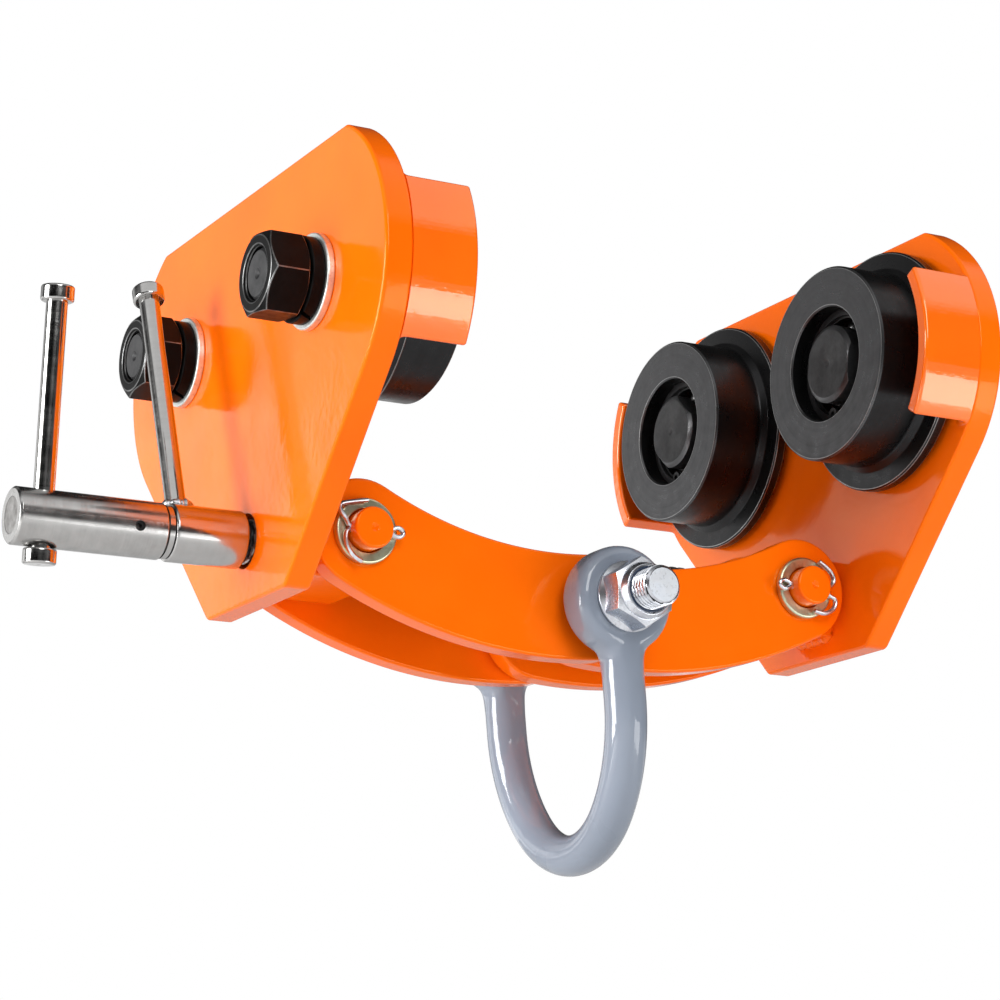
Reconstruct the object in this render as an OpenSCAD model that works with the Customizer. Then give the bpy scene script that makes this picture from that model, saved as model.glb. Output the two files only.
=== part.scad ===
// Spindle beam trolley with four flanged wheels, bent arms and a bow shackle.
// X runs across the beam, Y along it and Z up.
// The origin lies between the sides at the height where the wheels run on the flange.
// The left side is the one with the handles, the near side is at negative Y.

/* [Trolley] */
// Distance between the inner faces of the two side plates as shown
side_gap = 251; // [225:1:258]
// Distance between the two axles of one side
wheelbase = 120; // [108:1:160]
// Height of the arm pins below the wheels' running plane
pin_drop = 46; // [42:1:60]
// Distance of each arm pin from its side plate's inner face
pin_setback = 22.5; // [22.5:0.5:26]
// Height of the shackle bolt below the arm pins in the open trolley
bolt_drop = 19; // [12:1:30]

/* [Side plates] */
// Thickness of a side plate
side_t = 11; // [8:0.5:16]
// Radius of the plate's rounded shoulders about each axle
side_r = 59.5; // [56:0.5:66]
// Height of the plate's flat top above the axles
side_top = 53.5; // [40:0.5:55]
// Height of the plate's bottom edge below the arm pins
side_low = 24.5; // [20:0.5:40]
// Width of the plate's bottom edge
side_foot = 72; // [60:1:90]
// Radius of the plate's two bottom corners
foot_r = 4; // [1:0.5:8]
// Diameter of the hole in each plate for the spindle
spindle_hole_d = 21; // [20:0.5:25]

/* [Wheel guards] */
// How far a guard stands inwards from its side plate
guard_reach = 26.3; // [15:0.1:32]
// Wall of a guard
guard_t = 6; // [4:0.5:7]
// Depth of a guard's lower end below the axle
guard_down = 32.8; // [20:0.2:45]
// Height of a guard's upper end above the axle
guard_up = 27.5; // [15:0.5:50]

/* [Wheels] */
// Diameter of a wheel's tread
tread_d = 80; // [76:1:84]
// Diameter of a wheel's flange
flange_d = 99; // [94:0.5:102]
// Distance from a wheel's front face to the side plate
wheel_front = 33; // [31:0.5:36]
// Width of a wheel's tread
tread_w = 24; // [18:0.5:25]
// Thickness of the flange at its rim
flange_t = 5; // [4:0.5:6]
// Gap between the flange and the side plate
flange_gap = 2.5; // [1.5:0.5:3]
// Opening of the wheel's shoulder behind the bearing
shoulder_d = 41; // [39:0.5:43]

/* [Bearings] */
// Outer diameter of a wheel bearing
bearing_od = 47; // [47:0.5:50]
// Bore of a wheel bearing
bearing_id = 20; // [20:0.5:20]
// Width of a wheel bearing
bearing_w = 14; // [12:1:15]
// Depth of the bearing behind the wheel's front face
bearing_depth = 9.5; // [9:0.5:10]
// Wall of the inner ring at its rims
inner_ring_t = 3.5; // [3:0.1:4]
// Wall of the outer ring at its rims
outer_ring_t = 3.5; // [3:0.1:4]
// Diameter of a ball
ball_d = 7.2; // [6:0.1:7.2]
// Number of balls in a bearing
ball_n = 8; // [6:1:9]
// Thickness of the retaining ring
clip_t = 1.7; // [1:0.1:2]

/* [Axles] */
// Diameter of an axle's head
axle_head_d = 32; // [30:0.5:34]
// Distance across the two flats of an axle's head
axle_flats = 28; // [26:0.5:29]
// Distance of an axle's head behind the wheel's front face
axle_head_in = 1.5; // [1:0.5:3]
// Outer diameter of the spacer behind the bearing
spacer_d = 28; // [26:0.5:32]
// Outer diameter of the plain washer
plain_washer_d = 36.5; // [34:0.5:40]
// Thickness of the plain washer
plain_washer_t = 3; // [2:0.5:4]
// Outer diameter of the spring washer
spring_washer_d = 33; // [30:0.5:34]
// Thickness of the spring washer
spring_washer_t = 5; // [4:0.5:6]
// Size of the axle nut across its flats
axle_nut_af = 30; // [28:0.5:32]
// Height of the axle nut
axle_nut_h = 16; // [12:0.5:20]
// Distance of the axle's end behind the face of its nut
axle_end_in = 1; // [0.5:0.5:3]

/* [Arms] */
// Width of an arm
arm_w = 42; // [38:1:46]
// Thickness of an arm
arm_t = 10; // [8:0.5:12]
// Radius of an arm's bend along its middle line
arm_bend = 181; // [150:1:400]
// Distance between the two inner arms
inner_gap = 28; // [26:0.5:40]
// Side clearance between neighbouring arms, blocks and washers
side_play = 0.3; // [0.2:0.1:0.6]

/* [Arm pins] */
// Diameter of the arm pins
pin_d = 16; // [14:0.5:18]
// Radial clearance of a pin or bolt in its hole
pin_play = 0.05; // [0.02:0.01:0.1]
// Length of a pin beyond its arm
pin_end = 10; // [9:0.5:14]
// Outer diameter of a pin washer
pin_washer_d = 25.5; // [24:0.5:28]
// Thickness of a pin washer
pin_washer_t = 2.8; // [2:0.1:3]
// Height and width of the welded trunnion block around the spindle
block_h = 32; // [28:1:36]
// Width of a split pin's leg along the arm pin
split_w = 2.8; // [2:0.1:3.2]
// Thickness of a split pin's leg
split_t = 1.4; // [1:0.1:1.6]
// Outer diameter of a split pin's eye
split_eye_d = 5; // [4:0.1:6]

/* [Shackle] */
// Distance between the middles of the shackle's two eyes
eye_gap = 94; // [92:1:104]
// Diameter of the shackle's bar
bar_d = 16.5; // [14:0.5:18]
// Outer diameter of the shackle's eyes
eye_d = 42; // [38:1:46]
// Thickness of the shackle's eyes
eye_t = 17; // [14:0.5:18]
// Distance from the shackle bolt to the middle of the bow's bottom
bow_depth = 93.5; // [86:0.5:110]
// Height below the shackle bolt at which the bow begins to bend
leg_len = 38; // [34:0.5:44]
// Radius of the bow's two flanks
flank_r = 62; // [58:1:90]
// Angle by which the shackle hangs towards the right side
shackle_swing = 4.5; // [0:0.5:10]

/* [Shackle bolt] */
// Diameter of the shackle bolt
bolt_d = 16; // [14:0.5:18]
// Size of the shackle bolt's head and nut across the flats
bolt_af = 24; // [22:0.5:27]
// Height of the bolt's head
bolt_head_h = 10; // [8:0.5:12]
// Diameter of the nut's flange
nut_flange_d = 28; // [27.5:0.5:34]
// Thickness of the nut's flange
nut_flange_t = 3; // [2:0.5:4]
// Height of the nut without its collar
nut_h = 13; // [10:0.5:15]
// Height of the nut's locking collar
collar_h = 3; // [2:0.5:5]
// Length of the bolt beyond the nut's collar
bolt_end = 10; // [6:0.5:14]
// Outer diameter of the spacer tube between the inner arms
bolt_spacer_d = 22; // [20:0.5:23]

/* [Spindle] */
// Diameter of the spindle's threads
spindle_d = 18; // [17:0.5:19]
// Diameter of the plain neck between the two threads
neck_d = 14; // [12:0.5:16]
// Length of the plain neck
neck_len = 28; // [16:1:40]
// Length of the spindle beyond the right side plate
spindle_over = 5; // [3:0.5:20]
// Outer diameter of the end sleeve
sleeve_d = 21.7; // [21:0.1:24]
// Length of the end sleeve
sleeve_len = 58.5; // [50:0.5:70]
// Diameter of the spindle's end inside the sleeve
core_d = 14; // [12:0.5:15]
// Distance of the cross bar from the sleeve's free end
t_bar_in = 12; // [10:0.5:20]
// Distance of the roll pin from the sleeve's free end
roll_pin_in = 46.5; // [36:0.5:50]
// Diameter of the roll pin's hole
roll_pin_d = 4; // [3:0.5:5]

/* [Handles] */
// Diameter of the handle bars
bar_handle_d = 8; // [6:0.5:10]
// Radial clearance of the cross bar in its hole
t_bar_play = 0.08; // [0.04:0.01:0.1]
// Diameter of the bars' end buttons
button_d = 12.5; // [11:0.5:15]
// Thickness of the end buttons
button_t = 6; // [4:0.5:8]
// Length of the cross bar between its two buttons
t_bar_len = 92.5; // [80:0.5:110]
// Lean of the cross bar towards the near side
t_bar_lean = 6.3; // [0:0.1:20]
// Distance from the spindle's axis to the end of the lock nut's bar
lock_bar_reach = 113.5; // [90:0.5:130]
// Lean of the lock nut's bar towards the far side
lock_bar_lean = 19.5; // [0:0.5:30]

/* [Lock nut] */
// Outer diameter of the lock nut
lock_nut_d = 22.3; // [21:0.1:24]
// Length of the lock nut
lock_nut_len = 29.5; // [24:0.5:34]
// Gap between the lock nut and the side plate
lock_nut_gap = 2.5; // [1:0.5:4]
// Gap between the end sleeve and the lock nut
sleeve_gap = 2.7; // [2.7:0.1:5]
// Outer diameter of the thrust ring in that gap
thrust_ring_d = 20.5; // [19.5:0.5:21]
// Thickness of the thrust ring
thrust_ring_t = 2; // [1:0.1:2]
// Distance of the bar from the lock nut's outer end
lock_bar_in = 5.2; // [4.5:0.1:8]

/* [Hidden] */
$fn = 96;

// Overshoot of a cut beyond the face it opens
over = 1;
// Seat clearance between two pieces of one body
seat = 0.02;
// Gap between the two legs of a split pin, and its clearance in its hole
split_gap = 0.2;
split_play = 0.2;
split_hole_d = norm([split_w, 2 * split_t + split_gap]) + split_play;

plate_x = side_gap / 2;
pin_x = plate_x - pin_setback;
pin_z = -pin_drop;
bolt_z = pin_z - bolt_drop;
axle_y = wheelbase / 2;
axle_z = tread_d / 2;
plate_low_z = pin_z - side_low;

front_x = plate_x - wheel_front;
bearing_x = front_x + bearing_depth;
bearing_back_x = bearing_x + bearing_w;
clip_x = bearing_x - clip_t - 0.1;
clip_groove = 1.2;
flange_x = plate_x - flange_gap;
outer_x = plate_x + side_t;
spring_washer_x = outer_x + plain_washer_t;
axle_nut_x = spring_washer_x + spring_washer_t;
axle_end_x = axle_nut_x + axle_nut_h - axle_end_in;

inner_y = inner_gap / 2;
outer_y = inner_y + arm_t + side_play;
arms_y = outer_y + arm_t;

eye_y = eye_gap / 2;
nut_y = eye_y + eye_t / 2;
collar_y = nut_y + nut_h;
bolt_tip_y = collar_y + collar_h + bolt_end;

lock_nut_x = outer_x + lock_nut_gap;
thread_end_x = lock_nut_x + lock_nut_len + sleeve_gap;
spindle_end_x = thread_end_x + sleeve_len;
t_bar_x = spindle_end_x - t_bar_in;
lock_bar_x = lock_nut_x + lock_nut_len - lock_bar_in;

PAINT = [1, 0.4, 0];
BLACK = [0.1, 0.1, 0.11];
STEEL = [0.75, 0.76, 0.78];
ZINC = [0.85, 0.84, 0.72];
GREY = [0.5, 0.54, 0.58];

// Turns a shape whose axis is Z so that its axis points along X on the given side
module along_x(side) {
    rotate([0, side * 90, 0]) children();
}

// Turns a shape whose axis is Z so that its axis points along Y on the given side
module along_y(side) {
    rotate([-side * 90, 0, 0]) children();
}

// Ring about the X axis between two distances from the middle plane
module x_ring(side, d, bore, x0, x1) {
    along_x(side) translate([0, 0, x0]) difference() {
        cylinder(d = d, h = x1 - x0);
        translate([0, 0, -over]) cylinder(d = bore, h = x1 - x0 + 2 * over);
    }
}

// Hexagon prism along Z with chamfered corners on its upper end
module hex_prism(af, h, chamfer) {
    across = af / cos(30);
    intersection() {
        linear_extrude(h) circle(d = across, $fn = 6);
        union() {
            cylinder(d = across + over, h = h - chamfer);
            translate([0, 0, h - chamfer - 0.001]) {
                cylinder(d1 = across + over, d2 = across - 3.4 * chamfer, h = chamfer + 0.001);
            }
        }
    }
}

// Annular sector between two angles measured from the first axis
module sector(ro, ri, a0, a1) {
    reach = 2 * ro;
    mid = (a0 + a1) / 2;
    intersection() {
        difference() {
            circle(r = ro);
            circle(r = ri);
        }
        polygon([[0, 0], reach * [cos(a0), sin(a0)], reach * [cos(mid), sin(mid)],
            reach * [cos(a1), sin(a1)]]);
    }
}

// Side plates

// Slope of the plate's flank, which touches the shoulder circle and the bottom corner
foot_y = side_foot / 2;
foot_dy = axle_y - foot_y;
foot_dz = axle_z - plate_low_z;
foot_dist = sqrt(foot_dy * foot_dy + foot_dz * foot_dz);
flank_a = atan2(foot_dz, foot_dy) - asin(side_r / foot_dist);
foot_in_y = foot_y - foot_r * tan(flank_a / 2);
// Depth of the straight edges inside the tangents of the round ones
tuck = 0.02;

// Plate outline with Y and Z as its axes
module plate_outline() {
    top_z = axle_z + side_top;
    normal = [sin(flank_a), -cos(flank_a)];
    foot = [foot_in_y, plate_low_z + foot_r] + (foot_r - tuck) * normal;
    shoulder = [axle_y, axle_z] + (side_r - tuck) * normal;
    difference() {
        union() {
            for (s = [-1, 1]) {
                translate([s * axle_y, axle_z]) circle(r = side_r, $fn = 160);
                translate([s * foot_in_y, plate_low_z + foot_r]) circle(r = foot_r);
            }
            polygon([
                [-foot_in_y, plate_low_z + tuck], [foot_in_y, plate_low_z + tuck], foot, shoulder,
                [axle_y, top_z + over], [-axle_y, top_z + over],
                [-shoulder[0], shoulder[1]], [-foot[0], foot[1]]]);
        }
        translate([-2 * wheelbase, top_z]) square([4 * wheelbase, side_r]);
        for (s = [-1, 1]) {
            translate([s * axle_y, axle_z]) circle(d = bearing_id + 2 * seat);
        }
        translate([0, pin_z]) circle(d = spindle_hole_d);
    }
}

module side_plate(side) {
    color(PAINT) translate([side > 0 ? plate_x : -outer_x, 0, 0]) {
        rotate([90, 0, 90]) linear_extrude(side_t) plate_outline();
    }
}

module guard(side, end) {
    x0 = side > 0 ? plate_x - guard_reach : -plate_x;
    color(PAINT) translate([x0, end * axle_y, axle_z]) {
        rotate([90, 0, 90]) linear_extrude(guard_reach) {
            scale([end, 1]) sector(side_r, side_r - guard_t, -asin(guard_down / side_r),
                asin(guard_up / side_r));
        }
    }
}

// Welded block with two turned pins for the arms and a threaded hole for the spindle
module trunnion(side, half) {
    pin_tip = half + side_play + arm_t + pin_end;
    block_x0 = pin_x - block_h / 2;
    block_l = plate_x - block_x0;
    color(PAINT) difference() {
        union() {
            translate([side > 0 ? block_x0 : -plate_x, -half, pin_z - block_h / 2]) {
                cube([block_l, 2 * half, block_h]);
            }
            translate([side * pin_x, 0, pin_z]) for (end = [-1, 1]) {
                along_y(end) cylinder(d = pin_d, h = pin_tip);
            }
        }
        translate([0, 0, pin_z]) along_x(side) translate([0, 0, block_x0 - over]) {
            cylinder(d = spindle_d + 2 * pin_play, h = block_l + 2 * over);
        }
        for (end = [-1, 1]) {
            translate([side * pin_x, end * split_y(half), pin_z]) rotate([0, 90, 0]) {
                cylinder(d = split_hole_d, h = 2 * pin_d, center = true);
            }
        }
    }
}

// Distance of a split pin from the middle plane for a block of the given half width
function split_y(half) = half + 2 * side_play + arm_t + pin_washer_t + split_w / 2 + 0.3;

half_l = outer_y - side_play;
half_r = inner_y - side_play;

module pin_washers(side, half) {
    y0 = half + 2 * side_play + arm_t;
    color(ZINC) for (end = [-1, 1]) {
        translate([side * pin_x, 0, pin_z]) along_y(end) translate([0, 0, y0]) difference() {
            cylinder(d = pin_washer_d, h = pin_washer_t);
            translate([0, 0, -over]) cylinder(d = pin_d + 1, h = pin_washer_t + 2 * over);
        }
    }
}

// Outline of a split pin, eye to the left and bent legs to the right, about the arm pin
module split_outline() {
    pin_r = pin_d / 2;
    eye_r = split_eye_d / 2;
    leg_r = pin_r + 0.5;
    eye_x = pin_r + 1.2 + eye_r;
    translate([-eye_x, 0]) difference() {
        circle(r = eye_r);
        circle(r = eye_r - split_t);
        translate([0, -split_gap]) square([2 * eye_r, 2 * split_gap]);
    }
    for (s = [-1, 1]) scale([1, s]) {
        translate([-eye_x + eye_r - split_t, split_gap / 2]) square([eye_x - eye_r + leg_r + 2 * split_t, split_t]);
        intersection() {
            sector(leg_r + split_t, leg_r, 0.5, s > 0 ? 82 : 62);
            translate([0, split_gap / 2]) square(2 * pin_d);
        }
    }
}

module split_pins(side, half) {
    color(ZINC) for (end = [-1, 1]) {
        translate([side * pin_x, end * split_y(half), pin_z]) scale([side, 1, 1]) {
            rotate([90, 0, 0]) linear_extrude(split_w, center = true) split_outline();
        }
    }
}

// Axles, washers, nuts and bearings

module axle(side, end, turn) {
    head_x = front_x + axle_head_in;
    color(BLACK) translate([0, end * axle_y, axle_z]) along_x(side) {
        translate([0, 0, head_x]) rotate([0, 0, turn]) intersection() {
            cylinder(d = axle_head_d, h = bearing_x - head_x);
            translate([-axle_flats / 2, -axle_head_d, -over]) {
                cube([axle_flats, 2 * axle_head_d, bearing_x]);
            }
        }
        translate([0, 0, head_x + over]) cylinder(d = bearing_id, h = axle_end_x - head_x - 2 * over);
        translate([0, 0, axle_end_x - over]) cylinder(d1 = bearing_id, d2 = bearing_id - 2, h = over);
    }
}

module axle_spacers(side) {
    color(STEEL) for (end = [-1, 1]) {
        translate([0, end * axle_y, axle_z]) {
            x_ring(side, spacer_d, bearing_id + 2 * seat, bearing_back_x, plate_x);
        }
    }
}

module plain_washers(side) {
    color(STEEL) for (end = [-1, 1]) {
        translate([0, end * axle_y, axle_z]) {
            x_ring(side, plain_washer_d, bearing_id + 1, outer_x, spring_washer_x);
        }
    }
}

// Split ring whose ends stand apart by a narrow slanted slot
module spring_washers(side) {
    color(BLACK) for (end = [-1, 1]) {
        translate([0, end * axle_y, axle_z]) difference() {
            x_ring(side, spring_washer_d, bearing_id + 0.6, spring_washer_x, axle_nut_x);
            along_x(side) translate([0, 0, (spring_washer_x + axle_nut_x) / 2]) {
                rotate([0, 0, 200]) translate([bearing_id, 0, 0]) rotate([25, 0, 0]) {
                    cube([2 * bearing_id, 1.2, 3 * spring_washer_t], center = true);
                }
            }
        }
    }
}

module axle_nuts(side) {
    color(BLACK) for (end = [-1, 1]) {
        translate([0, end * axle_y, axle_z]) along_x(side) translate([0, 0, axle_nut_x]) {
            difference() {
                rotate([0, 0, 90 + (end < 0 ? -6 : 8)]) hex_prism(axle_nut_af, axle_nut_h, 1.4);
                translate([0, 0, -over]) cylinder(d = bearing_id + 2 * seat, h = axle_nut_h + 2 * over);
                translate([0, 0, axle_nut_h - 1]) {
                    cylinder(d1 = bearing_id, d2 = bearing_id + 2.2, h = 1.01);
                }
            }
        }
    }
}

inner_ring_d = bearing_id + 2 * inner_ring_t;
outer_ring_d = bearing_od - 2 * outer_ring_t;
race_r = (inner_ring_d + outer_ring_d) / 4;
race_w = ball_d / 2 + 0.35;

// Half section of a bearing ring with its ball groove, turned about the bearing's axis
module ring_section(r0, r1) {
    rotate_extrude($fn = 120) difference() {
        translate([r0, 0]) square([r1 - r0, bearing_w]);
        translate([race_r, bearing_w / 2]) circle(r = race_w, $fn = 48);
    }
}

module bearing_inners(side) {
    color(STEEL) for (end = [-1, 1]) {
        translate([0, end * axle_y, axle_z]) along_x(side) translate([0, 0, bearing_x]) {
            ring_section(bearing_id / 2 + seat, inner_ring_d / 2);
        }
    }
}

module bearing_outer(side, end) {
    color(STEEL) translate([0, end * axle_y, axle_z]) along_x(side) translate([0, 0, bearing_x]) {
        ring_section(outer_ring_d / 2, bearing_od / 2 - seat);
    }
}

module balls(side, end) {
    color(STEEL) translate([0, end * axle_y, axle_z]) along_x(side) {
        translate([0, 0, bearing_x + bearing_w / 2]) for (i = [0:ball_n - 1]) {
            rotate([0, 0, i * 360 / ball_n]) translate([race_r, 0, 0]) sphere(d = ball_d, $fn = 32);
        }
    }
}

// Retaining ring in the wheel's groove, open at the bottom between two drilled ears
module clip(side, end) {
    ro = bearing_od / 2 + clip_groove - 0.2;
    ri = bearing_od / 2 - 2.6;
    ear_r = 2.6;
    ear_at = ri - ear_r + 1.6;
    gap_a = 14;
    color(BLACK) translate([0, end * axle_y, axle_z]) along_x(side) translate([0, 0, clip_x]) {
        linear_extrude(clip_t) difference() {
            union() {
                sector(ro, ri, gap_a, 130);
                sector(ro, ri, 129.9, 245);
                sector(ro, ri, 244.9, 360 - gap_a);
                for (s = [-1, 1]) rotate(s * (gap_a + 4)) translate([ear_at, 0]) circle(r = ear_r);
            }
            for (s = [-1, 1]) rotate(s * (gap_a + 4)) translate([ear_at, 0]) circle(r = 1.2);
        }
    }
}

// Wheels

tread_end = tread_w;
flange_end = wheel_front - flange_gap;

module wheel(side, end) {
    tread_r = tread_d / 2;
    flange_r = flange_d / 2;
    seat_r = bearing_od / 2;
    groove_0 = bearing_depth - clip_t - 0.2;
    groove_1 = bearing_depth;
    seat_end = bearing_depth + bearing_w;
    rim_0 = flange_end - flange_t;
    color(BLACK) translate([0, end * axle_y, axle_z]) along_x(side) translate([0, 0, front_x]) {
        rotate_extrude($fn = 160) difference() {
            polygon([
                [seat_r + 0.6, 0], [tread_r - 0.8, 0], [tread_r, 0.8], [tread_r, tread_end],
                [tread_r + 1.2, tread_end + 0.5], [flange_r - 0.6, rim_0 - 0.2], [flange_r, rim_0 + 0.5],
                [flange_r, flange_end - 0.8], [flange_r - 0.8, flange_end],
                [shoulder_d / 2, flange_end], [shoulder_d / 2, seat_end], [seat_r, seat_end],
                [seat_r, groove_1], [seat_r + clip_groove, groove_1], [seat_r + clip_groove, groove_0],
                [seat_r, groove_0], [seat_r, 0.6]]);
            translate([seat_r + 5.6, flange_end - 2.5]) square([tread_r - seat_r - 9.6, 2.5 + over]);
        }
    }
}

// Arms

// Chord from the bolt to the right pin and the centre of the arm's bend above it
chord_x = pin_x;
chord_z = bolt_drop;
chord = sqrt(chord_x * chord_x + chord_z * chord_z);
bend_rise = sqrt(arm_bend * arm_bend - chord * chord / 4);
bend_x = chord_x / 2 - bend_rise * chord_z / chord;
bend_z = bolt_z + chord_z / 2 + bend_rise * chord_x / chord;
bend_a0 = atan2(bolt_z - bend_z, -bend_x);
bend_a1 = atan2(pin_z - bend_z, pin_x - bend_x);

// Outline of the right arm with X and Z as its axes
module arm_outline() {
    difference() {
        union() {
            translate([bend_x, bend_z]) {
                sector(arm_bend + arm_w / 2, arm_bend - arm_w / 2, bend_a0, bend_a1, $fn = 360);
            }
            translate([0, bolt_z]) circle(d = arm_w);
            translate([pin_x, pin_z]) circle(d = arm_w);
        }
        translate([0, bolt_z]) circle(d = bolt_d + 2 * pin_play);
        translate([pin_x, pin_z]) circle(d = pin_d + 2 * pin_play);
    }
}

module arm(side, end, near_y) {
    color(PAINT) scale([side, 1, 1]) translate([0, end > 0 ? near_y + arm_t : -near_y, 0]) {
        rotate([90, 0, 0]) linear_extrude(arm_t, $fn = 360) arm_outline();
    }
}

// Shackle and its bolt

module shackle_bolt() {
    head_y = eye_y + eye_t / 2 + side_play;
    color(STEEL) translate([0, 0, bolt_z]) {
        translate([0, head_y, 0]) along_y(1) hex_prism(bolt_af, bolt_head_h, 1);
        translate([0, head_y, 0]) along_y(-1) cylinder(d = bolt_d, h = head_y + bolt_tip_y - 1.2);
        translate([0, 1.2 - bolt_tip_y, 0]) along_y(-1) {
            cylinder(d1 = bolt_d, d2 = bolt_d - 2.4, h = 1.2);
        }
    }
}

collar_d = bolt_af - 2.5;

module shackle_nut() {
    color(STEEL) translate([0, -nut_y, bolt_z]) along_y(-1) difference() {
        union() {
            translate([0, 0, side_play]) cylinder(d1 = nut_flange_d, d2 = nut_flange_d - 3, h = nut_flange_t);
            translate([0, 0, side_play]) rotate([0, 0, 12]) hex_prism(bolt_af, nut_h - side_play, 1.2);
            translate([0, 0, nut_h - 0.01]) cylinder(d = collar_d, h = collar_h + 0.01);
        }
        translate([0, 0, -over]) cylinder(d = bolt_d + 2 * seat, h = nut_h + collar_h + 2 * over);
        translate([0, 0, nut_h]) cylinder(d = collar_d - 2.4, h = collar_h + over);
    }
}

module nut_insert() {
    color([0.15, 0.2, 0.3]) translate([0, -nut_y, bolt_z]) along_y(-1) {
        translate([0, 0, nut_h]) difference() {
            cylinder(d = collar_d - 2.4 - 2 * seat, h = collar_h - 0.6);
            translate([0, 0, -over]) cylinder(d = bolt_d + 2 * seat, h = collar_h + 2 * over);
        }
    }
}

module bolt_spacer() {
    half = inner_y - side_play;
    color(STEEL) translate([0, -half, bolt_z]) along_y(1) difference() {
        cylinder(d = bolt_spacer_d, h = 2 * half);
        translate([0, 0, -over]) cylinder(d = bolt_d + 2 * pin_play, h = 2 * half + 2 * over);
    }
}

// Radius of the bow's bottom, which meets both flanks smoothly
flank_off = flank_r - eye_y;
bow_span = bow_depth - leg_len;
bottom_r = (flank_r * flank_r - flank_off * flank_off - bow_span * bow_span) / (2 * (flank_r - bow_span));
bow_a = atan2(bow_span - bottom_r, flank_off);
// Angle by which each flank runs into the bow's bottom
bow_lap = 0.5;
// Extra diameter of the bar's legs and bottom over its two flanks
bow_swell = 0.3;

module eye(end) {
    r = eye_d / 2;
    soft = 4.5;
    half = eye_t / 2;
    translate([0, end * eye_y, 0]) along_y(1) rotate_extrude() difference() {
        union() {
            translate([0, -half]) square([r - soft, eye_t]);
            translate([0, soft - half]) square([r, eye_t - 2 * soft]);
            for (s = [-1, 1]) translate([r - soft, s * (half - soft)]) circle(r = soft, $fn = 48);
        }
        translate([-r, -half - over]) square([r, eye_t + 2 * over]);
    }
}

// Bent piece of the bow's bar about a centre in the shackle's own plane
module bow_arc(y, z, r, a0, a1, d) {
    translate([0, y, z]) rotate([90, 0, 90]) rotate([0, 0, a0]) {
        rotate_extrude(angle = a1 - a0, $fn = 160) translate([r, 0]) circle(d = d, $fn = 48);
    }
}

module shackle() {
    color(GREY) translate([0, 0, bolt_z]) rotate([0, -shackle_swing, 0]) difference() {
        union() {
            for (end = [-1, 1]) {
                eye(end);
                translate([0, end * eye_y, -leg_len - bow_swell]) {
                    cylinder(d = bar_d, h = leg_len + bow_swell, $fn = 48);
                }
            }
            bow_arc(-flank_off, -leg_len, flank_r, -bow_a - bow_lap, 0, bar_d - bow_swell);
            bow_arc(flank_off, -leg_len, flank_r, 180, 180 + bow_a + bow_lap, bar_d - bow_swell);
            bow_arc(0, bottom_r - bow_depth, bottom_r, 180 + bow_a, 360 - bow_a, bar_d);
        }
        translate([0, -eye_y - eye_t, 0]) along_y(1) {
            cylinder(d = bolt_d + 2 * pin_play, h = eye_gap + 2 * eye_t);
        }
    }
}

// Spindle, sleeve and handles, which point away from the plate on the left side

module spindle() {
    right_x = outer_x + spindle_over;
    color(STEEL) translate([0, 0, pin_z]) rotate([t_bar_lean, 0, 0]) difference() {
        union() {
            translate([-thread_end_x, 0, 0]) along_x(1) {
                cylinder(d = spindle_d, h = thread_end_x - neck_len / 2);
            }
            translate([-neck_len / 2, 0, 0]) along_x(1) cylinder(d = neck_d, h = neck_len);
            translate([neck_len / 2, 0, 0]) along_x(1) {
                cylinder(d = spindle_d, h = right_x - neck_len / 2 - 1.5);
            }
            translate([right_x - 1.5, 0, 0]) along_x(1) {
                cylinder(d1 = spindle_d, d2 = spindle_d - 3, h = 1.5);
            }
            translate([-spindle_end_x, 0, 0]) along_x(1) cylinder(d = core_d, h = sleeve_len);
        }
        cross_holes();
    }
}

// Holes for the cross bar and the roll pin, in the turned frame of the spindle
module cross_holes() {
    translate([-t_bar_x, 0, -sleeve_d]) {
        cylinder(d = bar_handle_d + 2 * t_bar_play, h = 2 * sleeve_d, $fn = 48);
    }
    translate([roll_pin_in - spindle_end_x, -sleeve_d, 0]) along_y(1) {
        cylinder(d = roll_pin_d, h = 2 * sleeve_d, $fn = 32);
    }
}

module spindle_sleeve() {
    edge = 0.8;
    r = sleeve_d / 2;
    color(STEEL) translate([0, 0, pin_z]) rotate([t_bar_lean, 0, 0]) difference() {
        translate([-spindle_end_x, 0, 0]) along_x(1) rotate_extrude() polygon([
            [core_d / 2 + seat, 0], [r - edge, 0], [r, edge], [r, sleeve_len - edge],
            [r - edge, sleeve_len], [core_d / 2 + seat, sleeve_len]]);
        cross_holes();
    }
}

module roll_pin() {
    pin_l = sleeve_d - 3;
    color(STEEL) translate([0, 0, pin_z]) rotate([t_bar_lean, 0, 0]) {
        translate([roll_pin_in - spindle_end_x, -pin_l / 2, 0]) along_y(1) difference() {
            cylinder(d = roll_pin_d - 2 * seat, h = pin_l, $fn = 32);
            translate([0, 0, -over]) cylinder(d = roll_pin_d - 1.6, h = pin_l + 2 * over, $fn = 32);
        }
    }
}

// Height of the cross bar's lower end when its lower button rests against the sleeve
t_bar_low = -sleeve_d / 2 - side_play;

module t_bar() {
    color(STEEL) translate([0, 0, pin_z]) rotate([t_bar_lean, 0, 0]) {
        translate([-t_bar_x, 0, t_bar_low - button_t / 2]) {
            cylinder(d = bar_handle_d, h = t_bar_len + button_t, $fn = 48);
        }
    }
}

// Round button with a blind seat for the bar's end
module button(h) {
    edge = 0.9;
    r = button_d / 2;
    difference() {
        rotate_extrude() polygon([[0, 0], [r - edge, 0], [r, edge], [r, h - edge], [r - edge, h], [0, h]]);
        translate([0, 0, -over]) cylinder(d = bar_handle_d + 2 * seat, h = h / 2 + over, $fn = 48);
    }
}

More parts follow.
